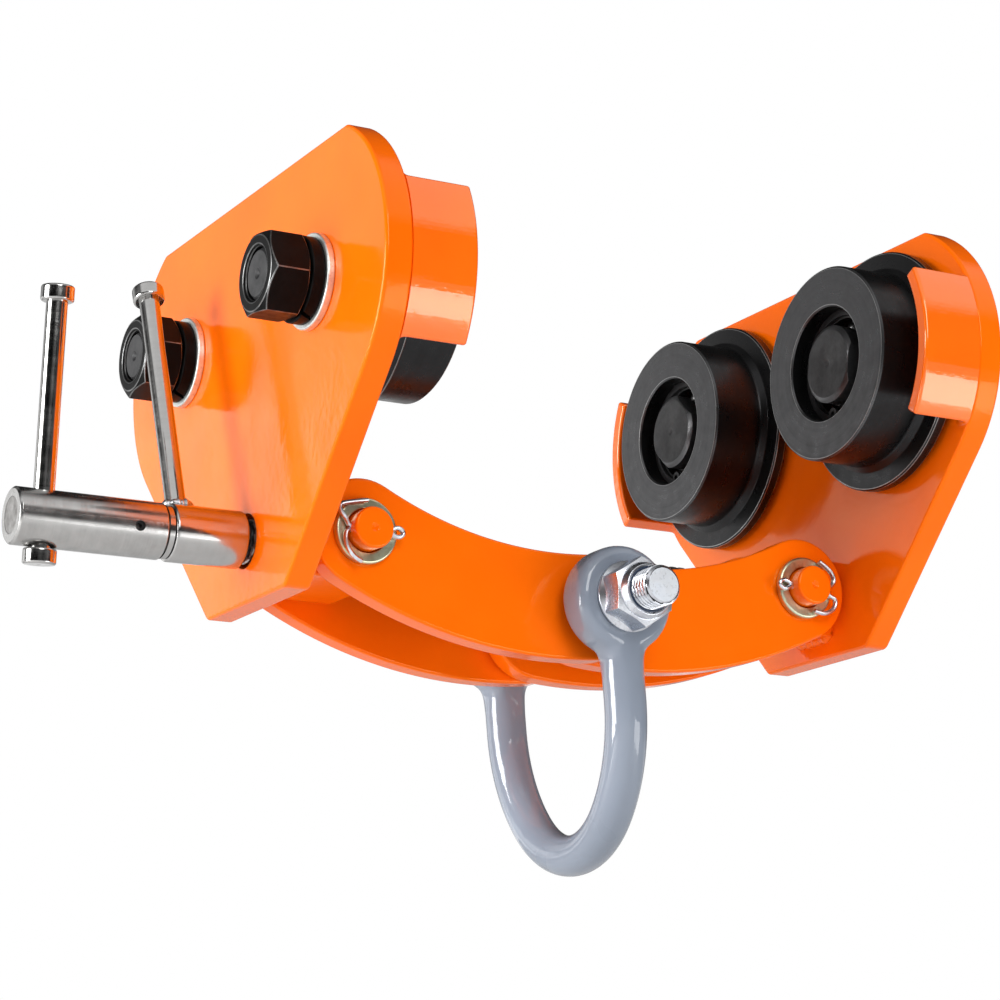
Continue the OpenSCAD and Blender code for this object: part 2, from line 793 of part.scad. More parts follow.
module t_bar_buttons() {
    color(STEEL) translate([0, 0, pin_z]) rotate([t_bar_lean, 0, 0]) {
        translate([-t_bar_x, 0, t_bar_low]) rotate([180, 0, 0]) button(button_t);
        translate([-t_bar_x, 0, t_bar_low + t_bar_len]) button(button_t);
    }
}

// Ring that lies against the sleeve's inner end and stays still while the spindle turns
module thrust_ring() {
    color(BLACK) translate([0, 0, pin_z]) {
        x_ring(-1, thrust_ring_d, spindle_d + 2 * pin_play, thread_end_x - side_play - thrust_ring_t,
            thread_end_x - side_play);
    }
}

module lock_nut() {
    edge = 2.2;
    r = lock_nut_d / 2;
    color(STEEL) translate([-lock_nut_x - lock_nut_len, 0, pin_z]) along_x(1) difference() {
        rotate_extrude() difference() {
            union() {
                translate([0, edge]) square([r, lock_nut_len - 2 * edge]);
                square([r - edge, lock_nut_len]);
                for (z = [edge, lock_nut_len - edge]) translate([r - edge, z]) circle(r = edge, $fn = 48);
            }
            translate([-r, -over]) square([r, lock_nut_len + 2 * over]);
        }
        translate([0, 0, -over]) cylinder(d = spindle_d + 2 * pin_play, h = lock_nut_len + 2 * over);
    }
}

// Bar and end button in one forging, welded on the lock nut
module lock_bar() {
    foot = lock_nut_d / 2 - 0.2;
    color(STEEL) translate([-lock_bar_x, 0, pin_z]) rotate([-lock_bar_lean, 0, 0]) difference() {
        union() {
            cylinder(d = bar_handle_d, h = lock_bar_reach - button_t / 2, $fn = 48);
            translate([0, 0, lock_bar_reach - button_t]) button(button_t);
        }
        translate([-button_d, 0, 0]) along_x(1) cylinder(r = foot + 0.22, h = 2 * button_d);
    }
}

module side_plate_l() { side_plate(-1); }
module guard_near_l() { guard(-1, -1); }
module guard_far_l() { guard(-1, 1); }
module trunnion_l() { trunnion(-1, half_l); }
module axle_near_l() { axle(-1, -1, 90); }
module axle_far_l() { axle(-1, 1, 60); }
module axle_spacers_l() { axle_spacers(-1); }
module plain_washers_l() { plain_washers(-1); }
module spring_washers_l() { spring_washers(-1); }
module axle_nuts_l() { axle_nuts(-1); }
module bearing_inners_l() { bearing_inners(-1); }
module pin_washers_l() { pin_washers(-1, half_l); }
module split_pins_l() { split_pins(-1, half_l); }
module wheel_near_l() { wheel(-1, -1); }
module bearing_outer_near_l() { bearing_outer(-1, -1); }
module balls_near_l() { balls(-1, -1); }
module clip_near_l() { clip(-1, -1); }
module wheel_far_l() { wheel(-1, 1); }
module bearing_outer_far_l() { bearing_outer(-1, 1); }
module balls_far_l() { balls(-1, 1); }
module clip_far_l() { clip(-1, 1); }
module arm_front_l() { arm(-1, -1, outer_y); }
module arm_rear_l() { arm(-1, 1, outer_y); }
module arm_front_r() { arm(1, -1, inner_y); }
module arm_rear_r() { arm(1, 1, inner_y); }
module side_plate_r() { side_plate(1); }
module guard_near_r() { guard(1, -1); }
module guard_far_r() { guard(1, 1); }
module trunnion_r() { trunnion(1, half_r); }
module axle_near_r() { axle(1, -1, 80); }
module axle_far_r() { axle(1, 1, 135); }
module axle_spacers_r() { axle_spacers(1); }
module plain_washers_r() { plain_washers(1); }
module spring_washers_r() { spring_washers(1); }
module axle_nuts_r() { axle_nuts(1); }
module bearing_inners_r() { bearing_inners(1); }
module pin_washers_r() { pin_washers(1, half_r); }
module split_pins_r() { split_pins(1, half_r); }
module wheel_near_r() { wheel(1, -1); }
module bearing_outer_near_r() { bearing_outer(1, -1); }
module balls_near_r() { balls(1, -1); }
module clip_near_r() { clip(1, -1); }
module wheel_far_r() { wheel(1, 1); }
module bearing_outer_far_r() { bearing_outer(1, 1); }
module balls_far_r() { balls(1, 1); }
module clip_far_r() { clip(1, 1); }

side_plate_l();
guard_near_l();
guard_far_l();
trunnion_l();
axle_near_l();
axle_far_l();
axle_spacers_l();
plain_washers_l();
spring_washers_l();
axle_nuts_l();
bearing_inners_l();
pin_washers_l();
split_pins_l();
lock_nut();
lock_bar();
thrust_ring();
spindle();
spindle_sleeve();
roll_pin();
t_bar();
t_bar_buttons();
wheel_near_l();
bearing_outer_near_l();
balls_near_l();
clip_near_l();
wheel_far_l();
bearing_outer_far_l();
balls_far_l();
clip_far_l();
arm_front_l();
arm_rear_l();
shackle_bolt();
shackle_nut();
nut_insert();
bolt_spacer();
shackle();
arm_front_r();
arm_rear_r();
side_plate_r();
guard_near_r();
guard_far_r();
trunnion_r();
axle_near_r();
axle_far_r();
axle_spacers_r();
plain_washers_r();
spring_washers_r();
axle_nuts_r();
bearing_inners_r();
pin_washers_r();
split_pins_r();
wheel_near_r();
bearing_outer_near_r();
balls_near_r();
clip_near_r();
wheel_far_r();
bearing_outer_far_r();
balls_far_r();
clip_far_r();
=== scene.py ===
"""Spindle beam trolley, dressed over its CAD frame: paint, plate, threads, welds and worn edges.

X runs across the beam, Y along it and Z up. Shapes are worked out in millimetres and built in metres.
"""

import math

import bmesh
import bpy
import numpy as np
from mathutils import Matrix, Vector
from mathutils.geometry import tessellate_polygon


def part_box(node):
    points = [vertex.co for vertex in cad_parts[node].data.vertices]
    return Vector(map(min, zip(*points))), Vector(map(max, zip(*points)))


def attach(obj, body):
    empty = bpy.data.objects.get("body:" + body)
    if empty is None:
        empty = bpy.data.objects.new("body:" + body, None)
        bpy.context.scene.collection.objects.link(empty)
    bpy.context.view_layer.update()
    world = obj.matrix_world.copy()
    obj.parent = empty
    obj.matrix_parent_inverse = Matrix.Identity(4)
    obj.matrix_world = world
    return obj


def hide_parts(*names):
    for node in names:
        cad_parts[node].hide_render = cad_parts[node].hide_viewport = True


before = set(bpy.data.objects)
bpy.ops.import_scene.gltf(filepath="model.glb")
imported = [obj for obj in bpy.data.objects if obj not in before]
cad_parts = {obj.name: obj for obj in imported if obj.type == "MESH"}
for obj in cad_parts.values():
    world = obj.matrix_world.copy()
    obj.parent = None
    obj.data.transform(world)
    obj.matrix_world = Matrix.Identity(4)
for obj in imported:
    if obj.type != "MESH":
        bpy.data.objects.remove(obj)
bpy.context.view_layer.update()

bl_info = {
    "name": "Spindle Beam Trolley",
    "version": (1, 0, 0),
    "blender": (4, 5, 0),
    "location": "3D View > Sidebar > Trolley",
    "description": "Builds the painted plates, wheels, arms, shackle, spindle and handles of a beam trolley",
    "category": "Object",
}

MM = 0.001
SIDES = {"left": -1, "right": 1}
ENDS = {"near": -1, "far": 1}


def reach(node, axis, end):
    """Lowest (end 0) or highest (end 1) place of a CAD node along an axis, in millimetres."""
    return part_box(node)[end][axis] / MM


def span(node, axis):
    """Lowest and highest place of a CAD node along an axis, in millimetres."""
    return reach(node, axis, 0), reach(node, axis, 1)


def middle(node, axis):
    """Place halfway through a CAD node along an axis, in millimetres."""
    return sum(span(node, axis)) / 2


# Places that the frame gives
PLATE_IN, PLATE_OUT = span("side_plate_r", 0)
PLATE_LOW, PLATE_TOP = span("side_plate_r", 2)
AXLE_Y, AXLE_Z = middle("wheel_far_r", 1), middle("wheel_far_r", 2)
SHOULDER_R = reach("side_plate_r", 1, 1) - AXLE_Y
WHEEL_FRONT, WHEEL_BACK = span("wheel_far_r", 0)
FLANGE_R = reach("wheel_far_r", 2, 1) - AXLE_Z
GUARD_IN = reach("guard_far_r", 0, 0)
GUARD_LOW, GUARD_TOP = (z - AXLE_Z for z in span("guard_far_r", 2))
HEAD_X, AXLE_END = span("axle_far_r", 0)
NUT_X0, NUT_X1 = span("axle_nuts_r", 0)
WASHER_X0, WASHER_X1 = span("plain_washers_r", 0)
PIN_X, PIN_Z = middle("pin_washers_r", 0), middle("pin_washers_r", 2)
BOLT_Z = middle("nut_insert", 2)
BLOCK_X = reach("trunnion_r", 0, 0)
BLOCK_H = reach("trunnion_r", 2, 1) - reach("trunnion_r", 2, 0)
ARM_SPAN = {name: span(f"arm_rear_{name[0]}", 1) for name in SIDES}
PIN_TIP = {name: reach(f"trunnion_{name[0]}", 1, 1) for name in SIDES}
PIN_WASHER = {name: (ARM_SPAN[name][1] + 0.3, reach(f"pin_washers_{name[0]}", 1, 1)) for name in SIDES}
PIN_WASHER_R = (reach("pin_washers_r", 2, 1) - reach("pin_washers_r", 2, 0)) / 2
SPLIT_Y = {name: reach(f"split_pins_{name[0]}", 1, 1) - 1.4 for name in SIDES}
NUT_Y = reach("shackle_nut", 1, 1)
BOLT_TIP, HEAD_Y = span("shackle_bolt", 1)
SLEEVE_END, SLEEVE_IN = span("spindle_sleeve", 0)
LOCK_OUT, LOCK_IN = span("lock_nut", 0)
SPINDLE_TIP = reach("spindle", 0, 1)
T_BAR_X, LOCK_BAR_X, ROLL_PIN_X = (middle(node, 0) for node in ("t_bar", "lock_bar", "roll_pin"))

# Sizes that the boxes of the nodes don't give, in millimetres
EYE_Y, EYE_R, BOW_R = 47.0, 21.0, 8.25
ARM_HALF, ARM_BEND = 21.0, 181.0
PIN_R, PIN_BORE_R = 8.0, 8.05
AXLE_R, AXLE_BORE_R = 9.98, 10.02
HEAD_R, HEAD_HALF = 16.0, 14.0
WASHER_R, SPRING_R = 18.25, 16.5
AXLE_NUT_FLATS, BOLT_NUT_FLATS = 30.0, 24.0
TREAD_R, SEAT_R, CLIP_R, BACK_BORE_R = 40, 23.5, 24.7, 20.5
SLEEVE_R, LOCK_R, BAR_R, SPINDLE_R, CORE_R = 10.85, 11.15, 4.0, 9.0, 6.9
T_BAR_LEAN, LOCK_BAR_LEAN = math.radians(6.3), math.radians(19.5)
T_BAR_DIR = np.array([0.0, -math.sin(T_BAR_LEAN), math.cos(T_BAR_LEAN)])
LOCK_BAR_DIR = np.array([0.0, math.sin(LOCK_BAR_LEAN), math.cos(LOCK_BAR_LEAN)])


# Sizes and colours that a user may change

class TrolleyShape(bpy.types.PropertyGroup):
    """Fine sizes that the frame doesn't hold."""
    plate_edge: bpy.props.FloatProperty(
        name="Plate Edge", description="Radius of the plates' edges", default=0.0013, unit="LENGTH")
    arm_edge: bpy.props.FloatProperty(
        name="Arm Edge", description="Radius of the arms' edges", default=0.0012, unit="LENGTH")
    guard_edge: bpy.props.FloatProperty(
        name="Guard Edge", description="Radius of a guard's free edges", default=0.0013, unit="LENGTH")
    guard_fillet: bpy.props.FloatProperty(
        name="Guard Fillet", description="Hollow fillet between guard and plate", default=0.0035, unit="LENGTH")
    weld_leg: bpy.props.FloatProperty(
        name="Weld Leg", description="Thickness of a weld bead", default=0.0022, unit="LENGTH")
    worn_edge: bpy.props.FloatProperty(
        name="Worn Edge", description="Width of the rubbed edges of nuts", default=0.0003, unit="LENGTH")
    bolt_pitch: bpy.props.FloatProperty(
        name="Bolt Pitch", description="Pitch of the shackle bolt's thread", default=0.002, unit="LENGTH")
    spindle_pitch: bpy.props.FloatProperty(
        name="Spindle Pitch", description="Pitch of the spindle's threads", default=0.004, unit="LENGTH")
    orange_peel: bpy.props.FloatProperty(
        name="Orange Peel", description="Size of the ripple in the gloss paint", default=0.0028, unit="LENGTH")


def colour(name, text, value):
    """Colour property in linear light."""
    return bpy.props.FloatVectorProperty(
        name=name, description=text, default=value, size=3, min=0.0, max=1.0, subtype="COLOR")


class TrolleyColours(bpy.types.PropertyGroup):
    """Colours of the finishes, in linear light."""
    orange: colour("Orange", "Gloss paint of plates and arms", (1.0, 0.160, 0.002))
    orange_deep: colour("Deep Orange", "Thicker patches of the orange paint", (0.98, 0.135, 0.001))
    grey: colour("Blue Grey", "Gloss paint of the shackle", (0.235, 0.270, 0.330))
    charcoal: colour("Charcoal", "Turned wheels", (0.105, 0.105, 0.108))
    black: colour("Black Oxide", "Nuts and spring washers", (0.0025, 0.0025, 0.0025))
    worn: colour("Worn Steel", "Rubbed edges", (0.22, 0.22, 0.22))
    zinc: colour("Bright Zinc", "Washers, bolt and nut", (0.78, 0.81, 0.86))
    yellow_zinc: colour("Pale Yellow Zinc", "Pin washers", (0.70, 0.66, 0.44))
    polish: colour("Polished Plate", "Spindle sleeve and handles", (0.49, 0.485, 0.475))
    steel: colour("Turned Steel", "Spindle threads and bearings", (0.46, 0.45, 0.44))
    nylon: colour("Blue Nylon", "Ring of the lock nut", (0.02, 0.04, 0.09))
    floor: colour("Floor", "Plain pale floor", (0.90, 0.90, 0.90))


def shape(name):
    """A fine size in millimetres."""
    return getattr(bpy.context.scene.trolley_shape, name) / MM


def tint(name):
    """A finish's colour with full alpha."""
    return (*getattr(bpy.context.scene.trolley_colours, name), 1.0)


def grey(level):
    """Plain grey with full alpha."""
    return level, level, level, 1.0


def scaled(base, share):
    """A colour made darker or lighter, with full alpha."""
    return tuple(min(1.0, c * share) for c in base[:3]) + (1.0,)


# Lines and loops

def arc(centre, r, a0, a1, n):
    """Points on a circle between two angles in degrees."""
    a = np.radians(np.linspace(a0, a1, n))
    return np.stack([centre[0] + r * np.cos(a), centre[1] + r * np.sin(a)], 1)


def hole(centre, r, n=96):
    """Clockwise circle, which is a hole's loop."""
    return arc(centre, r, 360, 0, n + 1)[:-1]


def rested(line, closed, gap=0.15, long=1.0):
    """The line with a rest point near both ends of each long segment, so that shading stays flat on flats."""
    line = np.asarray(line, float)
    ends = np.roll(line, -1, 0) if closed else line[1:]
    starts = line if closed else line[:-1]
    run = ends - starts
    length = np.linalg.norm(run, axis=1, keepdims=True)
    share = np.where(length > long, gap / np.maximum(length, 1e-9), np.nan)
    rows = np.stack([starts, starts + share * run, ends - share * run], 1).reshape(-1, line.shape[1])
    rows = rows[~np.isnan(rows).any(1)]
    return rows if closed else np.vstack([rows, line[-1:]])


def fillet(points, radii, steps=6, closed=False):
    """Line through the points whose corners are arcs of the given radii, tangent to both neighbours."""
    p = np.asarray(points, float)
    n = len(p)
    radii = np.broadcast_to(np.asarray(radii, float), (n,))
    parts = []
    for i in range(n):
        a, b = p[i - 1] - p[i], p[(i + 1) % n] - p[i]
        la, lb = np.linalg.norm(a), np.linalg.norm(b)
        if radii[i] <= 0 or (not closed and i in (0, n - 1)):
            parts.append(p[i:i + 1])
            continue
        a, b = a / la, b / lb
        half = 0.5 * math.acos(float(np.clip(a @ b, -1, 1)))
        cut = min(radii[i] / math.tan(half), 0.49 * la, 0.49 * lb)
        r = cut * math.tan(half)
        mid = (a + b) / np.linalg.norm(a + b)
        c = p[i] + mid * r / math.sin(half)
        start, end = p[i] + a * cut - c, p[i] + b * cut - c
        turn = math.pi - 2 * half
        t = np.linspace(0, 1, steps + 1)[:, None]
        parts.append(c + (np.sin((1 - t) * turn) * start + np.sin(t * turn) * end) / math.sin(turn))
    return np.vstack(parts)


def soft_line(points, times=3):
    """Line rounded by cutting its corners a quarter from each end, its two ends kept."""
    p = np.asarray(points, float)
    for _ in range(times):
        q = np.stack([0.75 * p[:-1] + 0.25 * p[1:], 0.25 * p[:-1] + 0.75 * p[1:]], 1)
        p = np.vstack([p[:1], q.reshape(-1, p.shape[1]), p[-1:]])
    return p


def ring_sector(ri, ro, a0, a1, soft, n=40):
    """Anticlockwise loop of an annular sector with four soft corners."""
    do = math.degrees(math.asin(soft / (ro - soft)))
    di = math.degrees(math.asin(soft / (ri + soft)))

    def at(r, a):
        return r * math.cos(math.radians(a)), r * math.sin(math.radians(a))
    return np.vstack([
        arc((0, 0), ro, a0 + do, a1 - do, n),
        arc(at(ro - soft, a1 - do), soft, a1 - do, a1 + 90, 7)[1:],
        arc(at(ri + soft, a1 - di), soft, a1 + 90, a1 - di + 180, 7),
        arc((0, 0), ri, a1 - di, a0 + di, n)[1:],
        arc(at(ri + soft, a0 + di), soft, a0 + di + 180, a0 + 270, 7)[1:],
        arc(at(ro - soft, a0 + do), soft, a0 - 90, a0 + do, 7)[:-1]])


# Places: an origin and three directions

def place(origin, e1, e2, e3):
    """Origin and three directions as rows."""
    return np.array([origin, e1, e2, e3], float)


def along_x(side, y, z):
    """Axis along X towards a side, with the frame's own turn about it."""
    return place((0, y, z), (0, 0, -side), (0, 1, 0), (side, 0, 0))


def along_y(side, x, z):
    """Axis along Y towards an end, with the frame's own turn about it."""
    return place((x, 0, z), (1, 0, 0), (0, 0, -side), (0, side, 0))


def along(origin, axis):
    """Axis along any direction near Z, with X as its first direction."""
    axis = np.asarray(axis, float)
    return place(origin, (1, 0, 0), np.cross(axis, (1, 0, 0)), axis)


def put(where, u, v, w):
    """Points at u, v, w of a place."""
    u, v, w = np.broadcast_arrays(u, v, w)
    return where[0] + u[..., None] * where[1] + v[..., None] * where[2] + w[..., None] * where[3]


# Shells: points, faces, a finish for each face and the turning place of each point

def shell(points, faces, finish=0, turned=None):
    """One closed surface."""
    marks = np.broadcast_to(np.asarray(finish), (len(faces),))
    if turned is None:
        turned = np.zeros((len(points), 3))
    return {"points": points, "faces": faces, "finish": marks, "turned": turned}


def sheet(points, wrap=True, finish=0, turned=None):
    """Quads between neighbouring rows and columns of a grid of points; finish may differ by row."""
    rows, cols = points.shape[:2]
    i = np.arange(rows - 1)[:, None]
    j = np.arange(cols if wrap else cols - 1)[None, :]
    k = (j + 1) % cols
    quads = np.stack(np.broadcast_arrays(i * cols + j, i * cols + k, (i + 1) * cols + k, (i + 1) * cols + j), -1)
    marks = np.repeat(np.broadcast_to(np.asarray(finish), (rows - 1,)), quads.shape[1])
    flat = None if turned is None else turned.reshape(-1, 3)
    return shell(points.reshape(-1, 3), quads.reshape(-1, 4).tolist(), marks, flat)


def around(where, radius, height, angle=None, finish=0, n=96):
    """Surface about an axis: row i at angle a stands radius[i, a] out and height[i, a] along."""
    radius, height = np.asarray(radius, float), np.asarray(height, float)
    radius = radius[:, None] if radius.ndim == 1 else radius
    height = height[:, None] if height.ndim == 1 else height
    a = np.linspace(0, 2 * math.pi, n, endpoint=False) if angle is None else np.asarray(angle)
    r, h, a = np.broadcast_arrays(radius, height, a[None, :])
    turned = np.stack([r, h, a], -1)
    return sheet(put(where, r * np.cos(a), r * np.sin(a), h), True, finish, turned)


def lathe(where, line, n=96, finish=0, closed=False):
    """Line of (height, radius) points turned about an axis, with rest points on its flats."""
    line = np.asarray(line, float)
    if closed:
        line = np.vstack([line, line[:1]])
    line = rested(line, False)
    return around(where, line[:, 1], line[:, 0], finish=finish, n=n)


def turned_ring(where, points, radii, steps=4, n=96):
    """Closed line of (height, radius) points with rounded corners, turned about an axis."""
    return lathe(where, fillet(points, radii, steps, closed=True), n, closed=True)


def slab(where, loops, edges, low, high, foot=0.0, foot_share=None, finish=0, steps=5):
    """Plate between two heights: each loop, with the stuff on its left, is carried up a section of
    (inset, height) points that rounds both edges or flares out at its foot, and two flats close it."""
    rings, points, faces, base = [], [], [], 0
    for loop, edge in zip(loops, edges):
        loop = rested(loop, True)
        ahead = np.roll(loop, -1, 0) - loop
        ahead /= np.linalg.norm(ahead, axis=1, keepdims=True)
        left = np.stack([-ahead[:, 1], ahead[:, 0]], 1)
        back = np.roll(left, 1, 0)
        normal = (left + back) / (1 + np.sum(left * back, 1, keepdims=True))
        a = np.linspace(0, math.pi / 2, steps + 1)
        upper = np.stack([edge * (1 - np.cos(a)), high - edge * (1 - np.sin(a))], 1)
        upper = np.vstack([[0, high - edge - 0.15], upper, [edge + 0.15, high]])
        if foot:
            lower = np.stack([foot * (np.sin(a) - 1), low + foot * (1 - np.cos(a))], 1)
            lower = np.vstack([[-0.9 * foot, low - 0.1], lower, [0, low + foot + 0.15]])
            share = np.ones(len(loop)) if foot_share is None else foot_share(loop)
        else:
            lower = np.stack([edge * (1 - np.sin(a)), low + edge * (1 - np.cos(a))], 1)
            lower = np.vstack([[edge + 0.15, low], lower, [0, low + edge + 0.15]])
            share = np.ones(len(loop))
        section = np.vstack([lower, upper])
        inset = np.where(section[:, :1] < 0, section[:, :1] * share[None, :], section[:, :1])
        flat = loop[None] + inset[..., None] * normal[None]
        height = np.broadcast_to(section[:, 1:], inset.shape)
        part = sheet(put(where, flat[..., 0], flat[..., 1], height), True)
        rows, cols = inset.shape
        rings.append((flat[0], flat[-1], base, base + (rows - 1) * cols))
        points.append(part["points"])
        faces += [[q + base for q in face] for face in part["faces"]]
        base += rows * cols
    for which in (0, 1):
        index = np.concatenate([r[2 + which] + np.arange(len(r[which])) for r in rings])
        flats = tessellate_polygon([[(x, y, 0.0) for x, y in r[which]] for r in rings])
        faces += [[int(index[q]) for q in face] for face in flats]
    return shell(np.vstack(points), faces, finish)


def tube(points, finish=0, closed=False):
    """Rows of closed sections joined in a tube, its ends drawn to their middles or joined."""
    if closed:
        points = np.concatenate([points, points[:1]])
    else:
        first = np.broadcast_to(points[0].mean(0), points[:1].shape)
        last = np.broadcast_to(points[-1].mean(0), points[:1].shape)
        points = np.concatenate([first, points, last])
    return sheet(points, True, finish)


def sweep(path, section, up, size=None, finish=0, closed=False):
    """Section carried along a path: its first direction lies across path and up, its second along up."""
    path, section, up = (np.asarray(v, float) for v in (path, section, up))
    if closed:
        run = np.roll(path, -1, 0) - np.roll(path, 1, 0)
    else:
        run = np.gradient(path, axis=0)
    across = np.cross(up, run)
    across /= np.linalg.norm(across, axis=1, keepdims=True)
    size = np.ones(len(path)) if size is None else np.asarray(size, float)
    offset = section[None, :, :1] * across[:, None, :] + section[None, :, 1:] * up
    return tube(path[:, None] + size[:, None, None] * offset, finish, closed)


def circle(r, n=16):
    """Round section."""
    return arc((0, 0), r, 0, 360, n + 1)[:-1]


def lumps(n, waves, depth):
    """Uneven size along a weld bead: a sum of three ripples of unlike length."""
    t = np.linspace(0, 2 * math.pi, n, endpoint=False)
    return 1 + depth * (np.sin(waves * t) + 0.6 * np.sin(waves * 2.37 * t + 1) + 0.5 * np.sin(waves * 0.41 * t + 2))


def spun(points, angle):
    """Points turned about the Y axis."""
    c, s = math.cos(angle), math.sin(angle)
    x, y, z = points.T
    return np.stack([c * x + s * z, y, -s * x + c * z], 1)


# Meshes

def build(name, shells, finishes, body, replaces=(), sharp=35.0, hold=True):
    """Object from shells: doubles merged, normals outwards, smooth but for sharp edges."""
    points = np.vstack([s["points"] for s in shells]) * MM
    faces, base = [], 0
    for s in shells:
        faces += [[q + base for q in face] for face in s["faces"]]
        base += len(s["points"])
    mesh = bpy.data.meshes.new(name)
    mesh.from_pydata(points.tolist(), [], faces)
    mesh.polygons.foreach_set("material_index", np.concatenate([s["finish"] for s in shells]).astype(np.int32))
    turned = mesh.attributes.new("turned", "FLOAT_VECTOR", "POINT")
    turned.data.foreach_set("vector", np.vstack([s["turned"] for s in shells]).astype(np.float32).ravel())
    tidy = bmesh.new()
    tidy.from_mesh(mesh)
    bmesh.ops.remove_doubles(tidy, verts=tidy.verts, dist=2e-6)
    bmesh.ops.recalc_face_normals(tidy, faces=tidy.faces)
    tidy.to_mesh(mesh)
    tidy.free()
    mesh.polygons.foreach_set("use_smooth", np.ones(len(mesh.polygons), bool))
    mesh.set_sharp_from_angle(angle=math.radians(sharp))
    piece = bpy.data.objects.new(name, mesh)
    bpy.context.scene.collection.objects.link(piece)
    for finish in finishes:
        mesh.materials.append(bpy.data.materials[finish])
    if hold:
        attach(piece, body)
        if replaces:
            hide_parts(*replaces)
    return piece


def wear(piece, width, finish):
    """Narrow bevel on the sharp edges that shows the finish rubbed through."""
    bevel = piece.modifiers.new("worn edges", "BEVEL")
    bevel.width, bevel.segments = width * MM, 2
    bevel.limit_method, bevel.angle_limit = "ANGLE", math.radians(24)
    bevel.material, bevel.harden_normals = finish, True


def settle(piece):
    """The piece's modifiers worked into its mesh."""
    bpy.context.view_layer.update()
    done = bpy.data.meshes.new_from_object(piece.evaluated_get(bpy.context.evaluated_depsgraph_get()))
    piece.modifiers.clear()
    piece.data = done


def bore(piece, where, r, low, high):
    """Round hole cut through a piece along a place's axis."""
    tool = build("bore tool", [lathe(where, [(low, 0), (low, r), (high, r), (high, 0)], 48)], [], "", hold=False)
    cut = piece.modifiers.new("bore", "BOOLEAN")
    cut.operation, cut.solver, cut.object = "DIFFERENCE", "EXACT", tool
    settle(piece)
    bpy.data.objects.remove(tool)
    piece.data.set_sharp_from_angle(angle=math.radians(35))


# Finishes

def feed(tree, socket, value):
    """Links another node's output to a socket, or sets the socket to a number or a colour."""
    if isinstance(value, bpy.types.NodeSocket):
        tree.links.new(value, socket)
    else:
        socket.default_value = value


def add_node(tree, kind, inputs=None, **settings):
    """New shader node with its inputs fed and its settings made."""
    node = tree.nodes.new("ShaderNode" + kind)
    for key, value in settings.items():
        setattr(node, key, value)
    for key, value in (inputs or {}).items():
        feed(tree, node.inputs[key], value)
    return node


class Finish:
    """One material: its nodes are added by kind and joined by name."""

    def __init__(self, name):
        self.material = bpy.data.materials.new(name)
        self.material.use_nodes = True
        self.tree = self.material.node_tree
        self.shader = self.tree.nodes["Principled BSDF"]

    def add(self, kind, inputs=None, **settings):
        """Adds a node; an input is a number, a colour or another node's output."""
        return add_node(self.tree, kind, inputs, **settings)

    def set(self, **values):
        """Sets or links the shader's sockets."""
        for key, value in values.items():
            feed(self.tree, self.shader.inputs[key.replace("_", " ").title().replace("Ior", "IOR")], value)

    def where(self):
        """Place on the piece in its own coordinates."""
        return self.add("TexCoord").outputs["Object"]

    def turning(self, across, along, around=0.0):
        """Place on a turned piece: distance from the axis and along it, scaled, for marks that run round."""
        place_on = self.add("Attribute", attribute_name="turned").outputs["Vector"]
        return self.add("VectorMath", {0: place_on, 1: (across, along, around)}, operation="MULTIPLY").outputs[0]

    def noise(self, scale, detail=2.0, rough=0.5, vector=None):
        """Cloudy value between 0 and 1."""
        where = vector if vector is not None else self.where()
        inputs = {"Vector": where, "Scale": scale, "Detail": detail, "Roughness": rough}
        return self.add("TexNoise", inputs).outputs["Fac"]

    def curve(self, value, low, high, to_low=0.0, to_high=1.0):
        """Value carried from one range to another and held at its ends."""
        return self.add("MapRange", {"Value": value, "From Min": low, "From Max": high,
                                     "To Min": to_low, "To Max": to_high}).outputs["Result"]

    def mix(self, share, a, b):
        """Colour between two colours."""
        node = self.add("Mix", data_type="RGBA")
        for key, value in (("Factor", share), ("A", a), ("B", b)):
            feed(self.tree, [s for s in node.inputs if s.name == key and s.enabled][0], value)
        return [s for s in node.outputs if s.enabled][0]

    def sum(self, a, b, share=1.0):
        """First value plus a share of the second."""
        return self.add("Math", {0: b, 1: share, 2: a}, operation="MULTIPLY_ADD").outputs[0]

    def bump(self, height, depth, strength=1.0, under=None):
        """Normal of a relief whose full height is the depth in millimetres."""
        inputs = {"Height": height, "Distance": depth * MM, "Strength": strength}
        if under is not None:
            inputs["Normal"] = under
        return self.add("Bump", inputs).outputs["Normal"]


def gloss_paint(name, light, deep, peel, rough, depth, glint, shine, coat, coat_ior=1.5):
    """Gloss paint: slow clouds of thicker paint under a clear top with orange peel."""
    f = Finish(name)
    clouds = f.noise(16.0, 3.0)
    base = f.mix(f.curve(clouds, 0.35, 0.68), deep, light)
    ripple = f.sum(f.noise(1 / (peel * MM), 2.0, 0.4), f.noise(70.0, 1.0), 1.6)
    relief = f.bump(ripple, depth)
    f.set(base_color=base, roughness=f.curve(f.noise(45.0, 2.0), 0.3, 0.7, rough - 0.04, rough + 0.05),
          specular_ior_level=shine, specular_tint=glint, coat_weight=coat, coat_roughness=0.05, coat_ior=coat_ior,
          normal=relief, coat_normal=relief)


